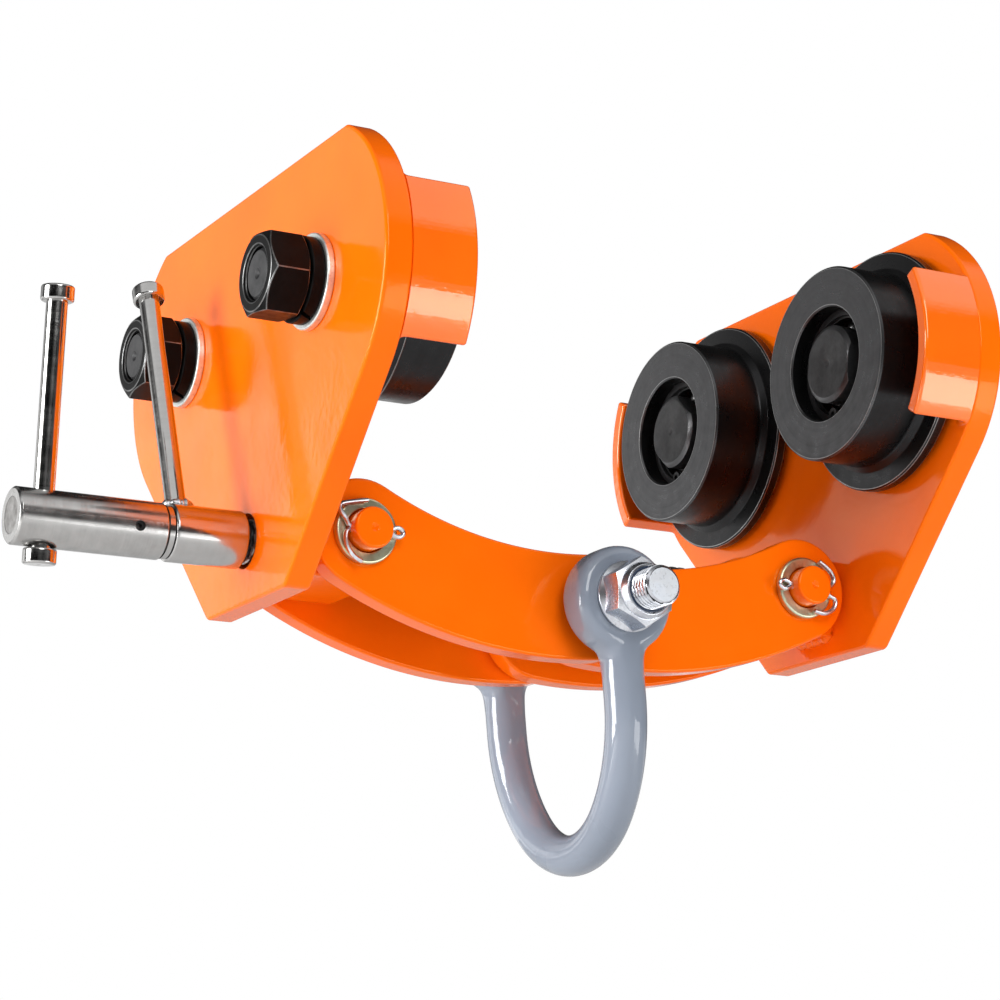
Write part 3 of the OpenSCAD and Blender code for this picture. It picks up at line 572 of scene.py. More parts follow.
def turned_metal(name, base, rough, rings, depth, metal=1.0, mottle=0.2, grain=0.0):
    """Metal with fine marks that run round its axis, a little mottled."""
    f = Finish(name)
    fine = f.noise(1.0, 2.0, 0.6, f.turning(rings, rings))
    broad = f.noise(1.0, 1.0, 0.5, f.turning(rings * 0.18, rings * 0.18))
    marks = f.sum(fine, broad, 0.8)
    cloud = f.noise(160.0, 3.0, 0.6)
    dark = scaled(base, 1 - mottle)
    tone = f.sum(f.curve(cloud, 0.3, 0.7), f.curve(marks, 0.6, 1.2), 0.7)
    relief = f.bump(marks, depth)
    if grain:
        relief = f.bump(f.noise(900.0, 2.0), grain, 1.0, relief)
    f.set(base_color=f.mix(f.curve(tone, 0.2, 1.4), dark, base), metallic=metal,
          roughness=f.curve(tone, 0.2, 1.4, rough + 0.07, rough - 0.05), normal=relief)


def plated(name, base, other, rough, spots, depth, metal=1.0, shine=0.5):
    """Plated steel: patches of another tone, small spots and a finely uneven surface."""
    f = Finish(name)
    patches = f.curve(f.noise(120.0, 4.0, 0.65), 0.38, 0.62)
    spot = f.curve(f.noise(spots, 2.0, 0.6), 0.55, 0.7)
    tone = f.mix(patches, other, base)
    tone = f.mix(f.curve(spot, 0, 1, 0, 0.5), tone, scaled(base, 0.55))
    f.set(base_color=tone, metallic=metal, roughness=f.curve(patches, 0, 1, rough + 0.08, rough - 0.04),
          specular_ior_level=shine, normal=f.bump(f.noise(700.0, 3.0, 0.6), depth))


def make_finishes():
    """All finishes of the trolley."""
    peel = shape("orange_peel")
    amber = (1.0, 0.62, 0.16, 1.0)
    orange, deep_orange = tint("orange"), tint("orange_deep")
    gloss_paint("orange gloss paint", orange, deep_orange, peel, 0.13, 0.05, amber, 0.35, 0.12)
    gloss_paint("thick orange gloss paint", orange, deep_orange, peel, 0.13, 0.06, amber, 0.5, 1.0, 1.62)
    gloss_paint("blue grey gloss paint", tint("grey"), scaled(tint("grey"), 0.86), peel * 1.6, 0.30, 0.05,
                grey(1.0), 0.1, 1.0)
    for name, *values in (
            ("turned charcoal steel", tint("charcoal"), 0.32, 2.6, 0.02, 0.92, 0.25, 0.006),
            # Darker copy of the wheels' turned steel: painted shade on treads, flanges and backs
            ("dark turned steel", (0.030, 0.030, 0.031, 1.0), 0.30, 2.6, 0.02, 0.9, 0.25, 0.006),
            ("worn rim", grey(0.34), 0.34, 3.0, 0.01),
            ("polished plate", tint("polish"), 0.15, 2.6, 0.006, 1.0, 0.12),
            ("turned plate", tint("polish"), 0.20, 2.2, 0.015, 1.0, 0.2),
            ("turned end face", tint("steel"), 0.34, 4.0, 0.01, 1.0, 0.2)):
        turned_metal(name, *values)
    for name, *values in (
            ("bearing steel", grey(0.16), grey(0.08), 0.32, 600.0, 0.01),
            ("black oxide", tint("black"), grey(0.004), 0.34, 500.0, 0.02, 0.0, 0.06),
            ("forged black", (0.034, 0.034, 0.035, 1.0), (0.018, 0.018, 0.019, 1.0), 0.42, 420.0, 0.05, 0.1, 0.4),
            ("rubbed edge", tint("worn"), grey(0.08), 0.32, 800.0, 0.01),
            ("bright zinc", tint("zinc"), (0.58, 0.60, 0.65, 1.0), 0.26, 900.0, 0.012),
            ("pale zinc", (0.86, 0.88, 0.85, 1.0), (0.66, 0.69, 0.66, 1.0), 0.42, 700.0, 0.012),
            # Lighter copy of the bolt's zinc for its flat end: painted light
            ("white zinc", (0.93, 0.96, 1.0, 1.0), (0.80, 0.84, 0.90, 1.0), 0.50, 900.0, 0.012),
            ("pale yellow zinc", tint("yellow_zinc"), (0.52, 0.56, 0.42, 1.0), 0.33, 650.0, 0.02),
            ("thread steel", tint("steel"), (0.20, 0.19, 0.18, 1.0), 0.32, 700.0, 0.015),
            # Near-black steel for the thread roots: painted shade
            ("thread groove", (0.07, 0.07, 0.075, 1.0), (0.03, 0.03, 0.032, 1.0), 0.42, 900.0, 0.01)):
        plated(name, *values)
    weld = Finish("bright weld")
    ripples = weld.noise(1100.0, 3.0, 0.7)
    weld.set(base_color=weld.mix(weld.curve(ripples, 0.35, 0.65), (0.30, 0.29, 0.28, 1.0), tint("zinc")),
             metallic=1.0, roughness=0.30, normal=weld.bump(ripples, 0.25))
    nylon = Finish("blue nylon")
    nylon.set(base_color=nylon.mix(nylon.noise(300.0, 2.0), scaled(tint("nylon"), 0.6), tint("nylon")),
              roughness=0.4, normal=nylon.bump(nylon.noise(1500.0, 2.0), 0.01))
    # Near-black finish of the roll pin: painted shade of its hole
    dark = Finish("roll pin in painted shade")
    dark.set(base_color=dark.mix(dark.noise(800.0), (0.010, 0.010, 0.011, 1.0), grey(0.02)),
             roughness=0.6, metallic=0.3)


# Side plates, guards, blocks and arms

def plate_loop():
    """Anticlockwise outline in (y, z): foot corner, flank, shoulder and flat top, mirrored."""
    foot_y, foot_r = 36.0, 4.0
    dy, dz = AXLE_Y - foot_y, AXLE_Z - PLATE_LOW
    slope = math.degrees(math.atan2(dz, dy) - math.asin(SHOULDER_R / math.hypot(dy, dz)))
    foot = (foot_y - foot_r * math.tan(math.radians(slope / 2)), PLATE_LOW + foot_r)
    top = math.degrees(math.asin((PLATE_TOP - AXLE_Z) / SHOULDER_R))
    corner = np.array([AXLE_Y + SHOULDER_R * math.cos(math.radians(top)), PLATE_TOP])
    bend = fillet([corner + (4 * math.sin(math.radians(top)), -4 * math.cos(math.radians(top))), corner,
                   corner - (4, 0)], [0, 4, 0])
    half = np.vstack([arc(foot, foot_r, -90, slope - 90, 9),
                      arc((AXLE_Y, AXLE_Z), SHOULDER_R, slope - 90, top - 4.0, 70), bend[1:]])
    return np.vstack([half, half[::-1] * (-1, 1)])


def make_plate(name):
    """Side plate with its three holes."""
    side = SIDES[name]
    where = place((0, 0, 0), (0, 1, 0), (0, 0, 1), (side, 0, 0))
    loops = [plate_loop(), hole((0, PIN_Z), 10.5), hole((AXLE_Y, AXLE_Z), AXLE_BORE_R),
             hole((-AXLE_Y, AXLE_Z), AXLE_BORE_R)]
    body = slab(where, loops, [shape("plate_edge"), 0.5, 0.3, 0.3], PLATE_IN, PLATE_OUT)
    build(f"plate_{name}", [body], ["orange gloss paint"], f"{name}_side", [f"side_plate_{name[0]}"])


def make_guard(name, end_name):
    """Bent guard: an annular sector carried inwards from the plate, flared into it by a hollow fillet."""
    side, end = SIDES[name], ENDS[end_name]
    where = place((side * PLATE_IN, end * AXLE_Y, AXLE_Z), (0, end, 0), (0, 0, 1), (-side, 0, 0))
    a0, a1 = (math.degrees(math.asin(z / SHOULDER_R)) for z in (GUARD_LOW, GUARD_TOP))
    loop = ring_sector(SHOULDER_R - 6, SHOULDER_R, a0, a1, 1.2)
    body = slab(where, [loop], [shape("guard_edge")], 0.0, PLATE_IN - GUARD_IN, shape("guard_fillet"),
                lambda p: np.clip((SHOULDER_R - 0.3 - np.hypot(p[:, 0], p[:, 1])) / 2.5, 0, 1))
    build(f"guard_{name}_{end_name}", [body], ["thick orange gloss paint"], f"{name}_side",
          [f"guard_{end_name}_{name[0]}"])


def make_block(name):
    """Welded block with two turned pins, each with a centre mark, and a weld bead round its foot."""
    side, half = SIDES[name], ARM_SPAN[name][0] - 0.3
    where = place((0, 0, PIN_Z), (side, 0, 0), (0, 0, 1), (0, 1, 0))
    h, leg = BLOCK_H / 2, shape("weld_leg")
    loop = fillet([(BLOCK_X, h), (BLOCK_X, -h), (PLATE_IN + 0.4, -h), (PLATE_IN + 0.4, h)], [3, 3, 0, 0], closed=True)
    shells = [slab(where, [loop], [1.5], -half, half)]
    tip = PIN_TIP[name]
    for end in (-1, 1):
        line = fillet([(half - 3, 0), (half - 3, PIN_R), (tip, PIN_R), (tip, 1.7), (tip - 1.1, 0)], [0, 0, 1.0, 0.4, 0])
        shells.append(lathe(along_y(end, side * PIN_X, PIN_Z), line, 72))
    n = 220
    inset = half - leg - 0.6
    track = fillet([(inset, h), (-inset, h), (-inset, -h), (inset, -h)], 2.0, closed=True)
    track = np.vstack([track, track[:1]])
    run = np.concatenate([[0], np.cumsum(np.linalg.norm(np.diff(track, axis=0), axis=1))])
    at = np.linspace(0, run[-1], n, endpoint=False)
    y, z = np.interp(at, run, track[:, 0]), np.interp(at, run, track[:, 1])
    path = np.stack([np.full(n, side * (PLATE_IN - 0.2)), y, PIN_Z + z], 1)
    shells.append(sweep(path, circle(leg, 12), (side, 0, 0), lumps(n, 19, 0.08), closed=True))
    build(f"block_{name}", shells, ["orange gloss paint"], f"{name}_side", [f"trunnion_{name[0]}"])


def make_arm(name, end_name):
    """Bent arm: a band about its bend's centre with round ends and two bores."""
    side, end = SIDES[name], ENDS[end_name]
    low, high = ARM_SPAN[name]
    pin, bolt = np.array([PIN_X, PIN_Z]), np.array([0.0, BOLT_Z])
    w, bend = ARM_HALF, ARM_BEND
    chord = pin - bolt
    mid = (pin + bolt) / 2
    rise = math.sqrt(bend ** 2 - chord @ chord / 4) / np.linalg.norm(chord)
    centre = mid + rise * np.array([-chord[1], chord[0]])
    a0, a1 = (math.degrees(math.atan2(*(p - centre)[::-1])) for p in (bolt, pin))
    loop = np.vstack([arc(centre, bend + w, a0, a1, 60), arc(pin, w, a1, a1 + 180, 32)[1:-1],
                      arc(centre, bend - w, a1, a0, 60), arc(bolt, w, a0 + 180, a0 + 360, 32)[1:-1]])
    where = place((0, 0, 0), (side, 0, 0), (0, 0, 1), (0, end, 0))
    body = slab(where, [loop, hole(pin, PIN_BORE_R), hole(bolt, PIN_BORE_R)], [shape("arm_edge"), 0.3, 0.3], low, high)
    node_end = "front" if end < 0 else "rear"
    build(f"arm_{name}_{end_name}", [body], ["orange gloss paint"], f"{name}_arms",
          [f"arm_{node_end}_{name[0]}"])


# Axles, nuts, washers and wheels

def on_axle(side, end):
    """Axis of a wheel, towards its side."""
    return along_x(side, end * AXLE_Y, AXLE_Z)


def two_flats(r, half, turn, n=19):
    """Angles and radii of a round head with two flats; angles meet the flats' corners."""
    c = math.acos(half / r)
    a = np.concatenate([
        np.linspace(-c, c, n), np.linspace(c, math.pi - c, 2 * n)[1:-1],
        np.linspace(math.pi - c, math.pi + c, n), np.linspace(math.pi + c, 2 * math.pi - c, 2 * n)[1:-1]])
    return a + math.radians(turn), np.minimum(r, half / np.maximum(np.abs(np.cos(a)), 1e-6))


def make_axle(name, end_name):
    """Axle bolt: forged head with two flats and a chamfered face, shank, thread end and centre hole."""
    side, end = SIDES[name], ENDS[end_name]
    turn = {("left", "near"): 90, ("left", "far"): 60, ("right", "near"): 100, ("right", "far"): 45}[name, end_name]
    where = on_axle(side, end)
    angle, r = two_flats(HEAD_R, HEAD_HALF, turn)
    face = np.minimum(r - 0.5, HEAD_HALF)
    flat = np.ones_like(r)
    rows = [(0 * r, HEAD_X + 8), (r - 0.3, HEAD_X + 8), (r, HEAD_X + 7.7), (r, HEAD_X + 0.2 + 0.55 * (r - face)),
            (r, HEAD_X + 0.05 + 0.55 * (r - face)), (face, HEAD_X), (face - 0.2, HEAD_X), (1.9 * flat, HEAD_X),
            (1.7 * flat, HEAD_X + 0.05), (0 * r, HEAD_X + 0.9)]
    radius = np.stack([row[0] for row in rows])
    height = np.stack([np.broadcast_to(row[1], r.shape) for row in rows])
    rim = np.zeros(len(rows) - 1, int)
    rim[4] = 1
    head = around(where, radius, height, angle, rim)
    line = fillet([(HEAD_X + 6, 0), (HEAD_X + 6, AXLE_R), (AXLE_END - 1.6, AXLE_R), (AXLE_END, 8.6), (AXLE_END, 2.2),
                   (AXLE_END - 1.8, 0)], [0, 0, 0.3, 0.3, 0.3, 0])
    build(f"axle_{name}_{end_name}", [head, lathe(where, line, 72)], ["forged black", "turned charcoal steel"],
          f"{name}_side", [f"axle_{end_name}_{name[0]}"])


def hex_ring(where, low, high, flats, inner, face, turn, finish=0, n=72, dish=1.0):
    """Nut: hexagon cut by a 30 degree cone at both ends, so each column meets its own edge height."""
    a = np.linspace(0, 2 * math.pi, n, endpoint=False)
    hexagon = flats / 2 / np.cos((a % (math.pi / 3)) - math.pi / 6)
    drop = (hexagon - face) * math.tan(math.radians(30))
    flat = np.ones_like(a)
    rows = [(inner * flat, low + dish), ((inner + dish) * flat, low), (face * flat, low), (hexagon, low + drop),
            (hexagon, high - drop), (face * flat, high), ((inner + dish) * flat, high), (inner * flat, high - dish),
            (inner * flat, low + dish)]
    radius = np.stack([np.broadcast_to(r, a.shape) for r, _ in rows])
    height = np.stack([np.broadcast_to(h, a.shape) for _, h in rows])
    return around(where, radius, height, a + math.radians(turn), finish)


def make_axle_nuts(name):
    """Black axle nuts with rubbed edges."""
    side = SIDES[name]
    shells = [hex_ring(on_axle(side, end), NUT_X0, NUT_X1, AXLE_NUT_FLATS, AXLE_BORE_R, 14.3,
                       90 + (-6 if end < 0 else 8)) for end in (-1, 1)]
    piece = build(f"nuts_{name}", shells, ["black oxide", "rubbed edge"], f"{name}_side",
                  [f"axle_nuts_{name[0]}"], sharp=22)
    wear(piece, shape("worn_edge"), 1)


def make_washers(name):
    """Flat washers and split spring washers under the axle nuts."""
    side = SIDES[name]
    plain, spring = [], []
    for end in (-1, 1):
        where = on_axle(side, end)
        plain.append(turned_ring(where, [(WASHER_X0, 10.5), (WASHER_X0, WASHER_R), (WASHER_X1, WASHER_R),
                                         (WASHER_X1, 10.5)], [0.2, 0.5, 0.6, 0.3]))
        corners = [(WASHER_X1, 10.35), (WASHER_X1, SPRING_R), (NUT_X0, SPRING_R), (NUT_X0, 10.35)]
        section = rested(fillet(corners, 0.45, 4, closed=True), True)
        slot, gap = math.radians(200), 0.9 / 16.0
        angle = np.linspace(slot + gap, slot + 2 * math.pi - gap, 120)[:, None]
        middle_x = (WASHER_X1 + NUT_X0) / 2
        lean = math.tan(math.radians(25)) * (section[:, 0] - middle_x) / 13.5
        a = angle + lean[None, :]
        r, h = section[None, :, 1], section[None, :, 0]
        spring.append(tube(put(where, r * np.cos(a), r * np.sin(a), h + 0 * a)))
    build(f"flat_washers_{name}", plain, ["pale zinc"], f"{name}_side", [f"plain_washers_{name[0]}"])
    build(f"lock_washers_{name}", spring, ["black oxide"], f"{name}_side",
          [f"spring_washers_{name[0]}"])


def make_wheel(name, end_name):
    """Flanged wheel turned from a line of (depth, radius) points with filleted, worn rims; its tread, flange
    and back take a darker copy of its steel, which is painted shade.
    """
    side, end = SIDES[name], ENDS[end_name]
    f, b = WHEEL_FRONT, WHEEL_BACK
    spots = [(f, 24.1, 0.2, 1),
             (f, 39.2, 0.2, 1), (f + 0.8, TREAD_R, 0.2, 0), (f + 22.4, TREAD_R, 1.6, 0), (f + 24.6, 42.4, 0.8, 0),
             (f + 25.3, 48.9, 0.3, 1), (f + 26.0, FLANGE_R, 0.3, 1), (b - 0.8, FLANGE_R, 0.3, 1),
             (b, FLANGE_R - 0.8, 0.2, 0), (b, 36.0, 0.4, 0), (b - 2.5, 36.0, 0.8, 0), (b - 2.5, 29.1, 0.8, 0),
             (b, 29.1, 0.4, 0), (b, BACK_BORE_R, 0.3, 0), (f + 23.5, BACK_BORE_R, 0, 0), (f + 23.5, SEAT_R, 0, 0),
             (f + 9.5, SEAT_R, 0, 0), (f + 9.5, CLIP_R, 0, 0), (f + 7.6, CLIP_R, 0, 0), (f + 7.6, SEAT_R, 0, 0),
             (f + 0.7, SEAT_R, 0, 0)]
    line = fillet([s[:2] for s in spots], [s[2] for s in spots], 4, closed=True)
    line = rested(np.vstack([line, line[:1]]), False)
    mid = (line[1:] + line[:-1]) / 2
    mark = np.zeros(len(mid), int)
    for spot in spots:
        if spot[3]:
            mark |= (np.linalg.norm(mid - spot[:2], axis=1) < 0.3).astype(int)
    # faces behind the front face take finish 2, the darker copy of the wheel's steel: painted shade
    mark[(mark == 0) & (mid[:, 0] > f + 0.6)] = 2
    body = around(on_axle(side, end), line[:, 1], line[:, 0], finish=mark, n=160)
    node = f"wheel_{end_name}_{name[0]}"
    build(f"roller_{name}_{end_name}", [body], ["turned charcoal steel", "worn rim", "dark turned steel"], node,
          [node])


# Upper and lower leg of each side's split pins, (outwards, up) from the arm pin's centre in millimetres
PIN_LEGS = {
    "left": ([(0.6, 11.2), (5.0, 10.4), (9.3, 9.5), (11.9, 8.8), (12.4, 7.2), (11.6, 5.4), (9.6, 3.3), (8.6, 1.0)],
             [(8.6, -0.9), (9.6, -1.8), (9.9, -4.6), (8.7, -8.1), (6.3, -11.0), (3.0, -12.6)]),
    "right": ([(5.6, 11.2), (9.5, 9.0), (12.2, 6.5), (13.0, 3.5), (11.5, 1.4), (8.9, 0.9)],
              [(8.9, -1.0), (10.2, -3.0), (13.0, -3.8), (13.5, -6.2), (11.7, -9.0), (7.6, -10.8), (2.5, -9.8)]),
}


def make_pin_hardware(name):
    """Washers and split pins on the arm pins."""
    side = SIDES[name]
    low, high = PIN_WASHER[name]
    rings, wires = [], []
    upper, lower = PIN_LEGS[name]
    for end in (-1, 1):
        where = along_y(end, side * PIN_X, PIN_Z)
        rings.append(turned_ring(where, [(low, 8.5), (low, PIN_WASHER_R), (high, PIN_WASHER_R), (high, 8.5)],
                                 [0.2, 0.4, 0.9, 0.4]))
        path = soft_line([*upper, (7.4, 0.72), (-8.4, 0.72), (-9.4, 0.9), (-11.0, 1.8), (-12.8, 1.75), (-14.2, 0.6),
                          (-14.2, -0.6), (-12.8, -1.75), (-11.0, -1.8), (-9.4, -0.9), (-8.4, -0.72), (7.4, -0.72),
                          *lower])
        y = np.full(len(path), end * SPLIT_Y[name])
        points = np.stack([side * (PIN_X + path[:, 0]), y, PIN_Z + path[:, 1]], 1)
        taper = np.clip(np.arange(len(points)) / 3 + 0.45, 0, 1)
        wires.append(sweep(points, circle(0.95, 12) * (1, 1.25), (0, 1, 0), np.minimum(taper, taper[::-1])))
    build(f"pin_rings_{name}", rings, ["pale yellow zinc"], f"{name}_side", [f"pin_washers_{name[0]}"])
    build(f"cotters_{name}", wires, ["bright zinc"], f"{name}_side", [f"split_pins_{name[0]}"])


# Shackle and its bolt

def make_shackle():
    """Forged bow: two eyes of rounded section, two legs that swell into them and three arcs, blended and smoothed."""
    swing, half = math.radians(-4.5), 8.5
    shells = []
    for end in (-1, 1):
        where = along_y(1, 0, 0)
        where[0] = (0, end * EYE_Y, 0)
        shells.append(turned_ring(where, [(-half, PIN_BORE_R), (-half, EYE_R), (half, EYE_R), (half, PIN_BORE_R)],
                                  [0.8, 4.5, 4.5, 0.8], 8))
        z = np.linspace(-39, -12.0, 40)
        flare = np.where(z > -24.02, 16.25 - np.sqrt(np.maximum(64 - (z + 24.02) ** 2, 0.0)), BOW_R)
        wide = np.minimum(flare, 14.5)
        a = np.linspace(0, 2 * math.pi, 40, endpoint=False)
        push = np.clip((z + 30) / 16, 0, 1)[:, None]
        power = 1 - 0.35 * push
        c, s = np.cos(a)[None], np.sin(a)[None]
        x = wide[:, None] * np.sign(c) * np.abs(c) ** power
        y = BOW_R * np.sign(s) * np.abs(s) ** power
        shells.append(tube(np.stack([x, end * EYE_Y + y, z[:, None] + 0 * x], -1)))
    flank_off, leg, flank, bottom, depth = 15.0, 38.0, 62.0, 41.44, 93.5
    bow = math.degrees(math.atan2(depth - leg - bottom, flank_off))
    path = np.vstack([
        [(EYE_Y, -20.0), (EYE_Y, -29.0)], arc((-flank_off, -leg), flank, 0, -bow, 40),
        arc((0, bottom - depth), bottom, -bow, bow - 180, 70)[1:],
        arc((flank_off, -leg), flank, bow - 180, -180, 40)[1:], [(-EYE_Y, -29.0), (-EYE_Y, -20.0)]])
    points = np.stack([np.zeros(len(path)), path[:, 0], path[:, 1]], 1)
    shells.append(sweep(points, circle(BOW_R, 40), (1, 0, 0)))
    for part in shells:
        part["points"] = spun(part["points"], swing) + (0, 0, BOLT_Z)
    piece = build("bow_shackle", shells, ["blue grey gloss paint"], "shackle", ["shackle"])
    blend = piece.modifiers.new("forge", "REMESH")
    blend.mode, blend.voxel_size, blend.use_smooth_shade = "VOXEL", 0.8 * MM, True
    smooth = piece.modifiers.new("smooth", "SMOOTH")
    smooth.factor, smooth.iterations = 0.5, 14
    settle(piece)
    if not piece.data.materials:
        piece.data.materials.append(bpy.data.materials["blue grey gloss paint"])


def screw(where, low, high, r, pitch, depth, hand=1, per_pitch=8, n=72, taper=(0.0, 0.0), finish=0, caps=(0, 0)):
    """Threaded bar: radius less depth times a trapezoid wave of height over pitch minus turn; the ends taper,
    and caps are the finishes of their faces. Groove floors take finish 1, which is painted shade in the thread roots."""
    rows = int((high - low) / pitch * per_pitch) + 1
    h = np.linspace(low, high, rows)[:, None]
    a = np.linspace(0, 2 * math.pi, n, endpoint=False)[None]
    phase = (h / pitch - hand * a / (2 * math.pi)) % 1.0
    groove = np.clip(np.abs(phase - 0.5) * 4.6 - 0.55, 0, 1)
    radius = r - depth * (1 - groove)
    radius = np.minimum(radius, np.minimum(r - taper[0] + (h - low) * 1.0 if taper[0] else r,
                                           r - taper[1] + (high - h) * 1.0 if taper[1] else r))
    radius = np.vstack([np.zeros((1, n)), radius, np.zeros((1, n))])
    height = np.vstack([h[:1], h, h[-1:]]) + 0 * a
    part = around(where, radius, height, a[0], finish)
    # finish 1 on the groove floors is a near-black painted shade in the thread roots; the caps take their own finishes
    deep = np.zeros((rows + 1, n), int)
    deep[1:-1] = (groove[1:] + np.roll(groove, -1, 1)[:-1] < 0.9).astype(int)
    deep[0], deep[-1] = caps
    part["finish"] = deep.ravel()
    return part


def make_bolt():
    """Shackle bolt: hexagon head, shank and a screwed tip with a flat end; the thread roots carry painted shade and the
    flat end a lighter zinc that is painted light.
    """
    where = along_y(1, 0, BOLT_Z)
    head = hex_ring(where, HEAD_Y - 10, HEAD_Y, BOLT_NUT_FLATS, 4.0, 11.4, 0, dish=0.6)
    plug = lathe(where, [(HEAD_Y - 9, 0), (HEAD_Y - 9, 5.2), (HEAD_Y - 0.6, 5.2), (HEAD_Y - 0.6, 0)], 48)
    shank = lathe(where, [(-60, 0), (-60, 7.95), (HEAD_Y - 9.5, 7.95), (HEAD_Y - 9.5, 0)], 72)
    # the flat end takes finish 2, a lighter copy of the zinc that paints light on it
    tip = screw(where, BOLT_TIP, -59.0, 7.98, shape("bolt_pitch"), 1.25, 1, 12, 96, (1.5, 0.0), caps=(2, 0))
    build("shackle_pin", [head, plug, shank, tip], ["bright zinc", "thread groove", "white zinc"], "centre",
          ["shackle_bolt"], sharp=40)


def make_shackle_nut():
    """Flanged lock nut: sloped flange disc, hexagon and conical collar round the nylon ring."""
    where = along_y(-1, 0, BOLT_Z)
    y0 = -NUT_Y
    top = y0 + 12.7
    inner = 8.02
    flange = turned_ring(where, [(y0, inner), (y0, 13.9), (y0 + 1.2, 14.0), (y0 + 3.2, 11.8), (y0 + 3.2, inner)],
                         [0, 0.3, 0.5, 0.8, 0])
    body = hex_ring(where, y0 + 0.4, top, BOLT_NUT_FLATS, inner, 11.3, 33, dish=0.2)
    collar = turned_ring(where, [(top - 0.6, 9.6), (top - 0.6, 11.2), (top + 0.9, 10.9), (top + 3.0, 9.9),
                                 (top + 3.0, 9.0), (top + 2.3, 8.9), (top + 2.3, inner), (top - 0.6, inner)],
                         [0, 0, 0.8, 0.4, 0.2, 0, 0, 0])
    piece = build("flange_nut", [flange, body, collar], ["bright zinc", "rubbed edge"], "centre",
                  ["shackle_nut"], sharp=22)
    soft = piece.modifiers.new("soft edges", "BEVEL")
    soft.width, soft.segments, soft.harden_normals = 0.35 * MM, 2, True
    soft.limit_method, soft.angle_limit = "ANGLE", math.radians(24)
    ring = turned_ring(where, [(top + 1.8, 8.0), (top + 1.8, 9.1), (top + 2.75, 9.1), (top + 2.95, 8.0)],
                       [0, 0, 0.3, 0.2], 3)
    build("nylon_ring", [ring], ["blue nylon"], "centre", ["nut_insert"])


# Spindle, sleeve and handles

def make_spindle():
    """Bar with a right hand and a left hand thread, a plain neck between them and a plain outer end; its thread roots
    carry painted shade.
    """
    where = along_x(1, 0, PIN_Z)
    pitch = shape("spindle_pitch")
    ring_x = reach("thrust_ring", 0, 0) - 1.0
    left = screw(where, ring_x, -14.0, SPINDLE_R, pitch, 1.6, -1, 10, 96, (0, 2.0))
    right = screw(where, 14.0, SPINDLE_TIP, SPINDLE_R, pitch, 1.6, 1, 10, 96, (2.0, 1.6))
    neck = lathe(where, [(-15.5, 0), (-15.5, 7), (15.5, 7), (15.5, 0)], 72)
    end = lathe(where, [(SLEEVE_END + 0.1, 0), (SLEEVE_END + 0.1, CORE_R), (ring_x + 2, CORE_R), (ring_x + 2, 0)], 72)
    build("screw_bar", [left, right, neck, end], ["thread steel", "thread groove"], "spindle",
          ["spindle"], sharp=45)


def make_sleeve():
    """Turned sleeve with broken edges, a drilled cross hole and a roll pin hole a quarter turn from the bar."""
    where = along_x(-1, 0, PIN_Z)
    a, b = -SLEEVE_IN, -SLEEVE_END
    inner, edge = 7.02, SLEEVE_R - 0.8
    body = turned_ring(where, [(a, inner), (a, edge), (a + 0.8, SLEEVE_R), (b - 0.8, SLEEVE_R), (b, edge), (b, inner)],
                       [0, 0.3, 0.3, 0.35, 0.35, 0], n=128)
    piece = build("turned_sleeve", [body], ["turned plate", "turned end face"], "spindle",
                  ["spindle_sleeve"])
    side_way = np.array([0.0, -math.cos(T_BAR_LEAN), -math.sin(T_BAR_LEAN)])
    bore(piece, place((ROLL_PIN_X, 0, PIN_Z), (1, 0, 0), np.cross(side_way, (1, 0, 0)), side_way), 2.0, -20, 20)
    bore(piece, along((T_BAR_X, 0, PIN_Z), T_BAR_DIR), 4.1, -20, 20)
    core = fillet([(b - 2, 0), (b - 2, CORE_R), (b - 0.15, CORE_R), (b - 0.15, 1.2), (b - 0.7, 0)],
                  [0, 0, 0.3, 0.2, 0], 4)
    build("sleeve_core", [lathe(where, core, 72)], ["turned end face"], "spindle")


def button(where, low, high):
    """Round end button with soft edges and a fine centre mark."""
    line = fillet([(low, 0), (low, 6.25), (high, 6.25), (high, 0.9), (high - 0.4, 0)], [0, 0.9, 0.9, 0.2, 0], 5)
    return lathe(where, line, 72)


def make_t_bar():
    """Sliding cross bar with a button at each end."""
    where = along((T_BAR_X, 0, PIN_Z), T_BAR_DIR)
    bar = lathe(where, [(-14, 0), (-14, BAR_R), (84, BAR_R), (84, 0)], 72)
    build("cross_bar", [bar], ["polished plate"], "t_bar", ["t_bar"])
    upper = button(where, 81.35, 87.35)
    lower = button(place(where[0], where[1], -where[2], -where[3]), 11.15, 17.15)
    build("cross_bar_buttons", [upper, lower], ["polished plate"], "t_bar", ["t_bar_buttons"])


def make_lock_nut():
    """Round lock nut with full shoulders, its welded bar, button and bead."""
    where = along_x(-1, 0, PIN_Z)
    a, b = -LOCK_IN, -LOCK_OUT
    body = turned_ring(where, [(a, 9.2), (a, LOCK_R), (b, LOCK_R), (b, 9.2)], [0.3, 2.4, 1.8, 0.3], 8, 128)
    build("round_nut", [body], ["polished plate"], "lock_nut", ["lock_nut"])
    up = along((LOCK_BAR_X, 0, PIN_Z), LOCK_BAR_DIR)
    bar = lathe(up, [(9.6, 0), (9.6, BAR_R), (109.5, BAR_R), (109.5, 0)], 72)
    n = 120
    t = np.linspace(0, 2 * math.pi, n, endpoint=False)
    out = 4.9 + 0.3 * np.sin(5 * t)
    s = np.sqrt(LOCK_R ** 2 - (out * np.sin(t)) ** 2) + 0.1
    path = put(up, out * np.cos(t), out * np.sin(t), s)
    bead = sweep(path, circle(1.9, 14), LOCK_BAR_DIR, lumps(n, 9, 0.16), finish=1, closed=True)
    build("handle_bar", [bar, button(up, 107.5, 113.5), bead], ["polished plate", "bright weld"], "lock_nut",
          ["lock_bar"])


# Pieces that keep their CAD solids

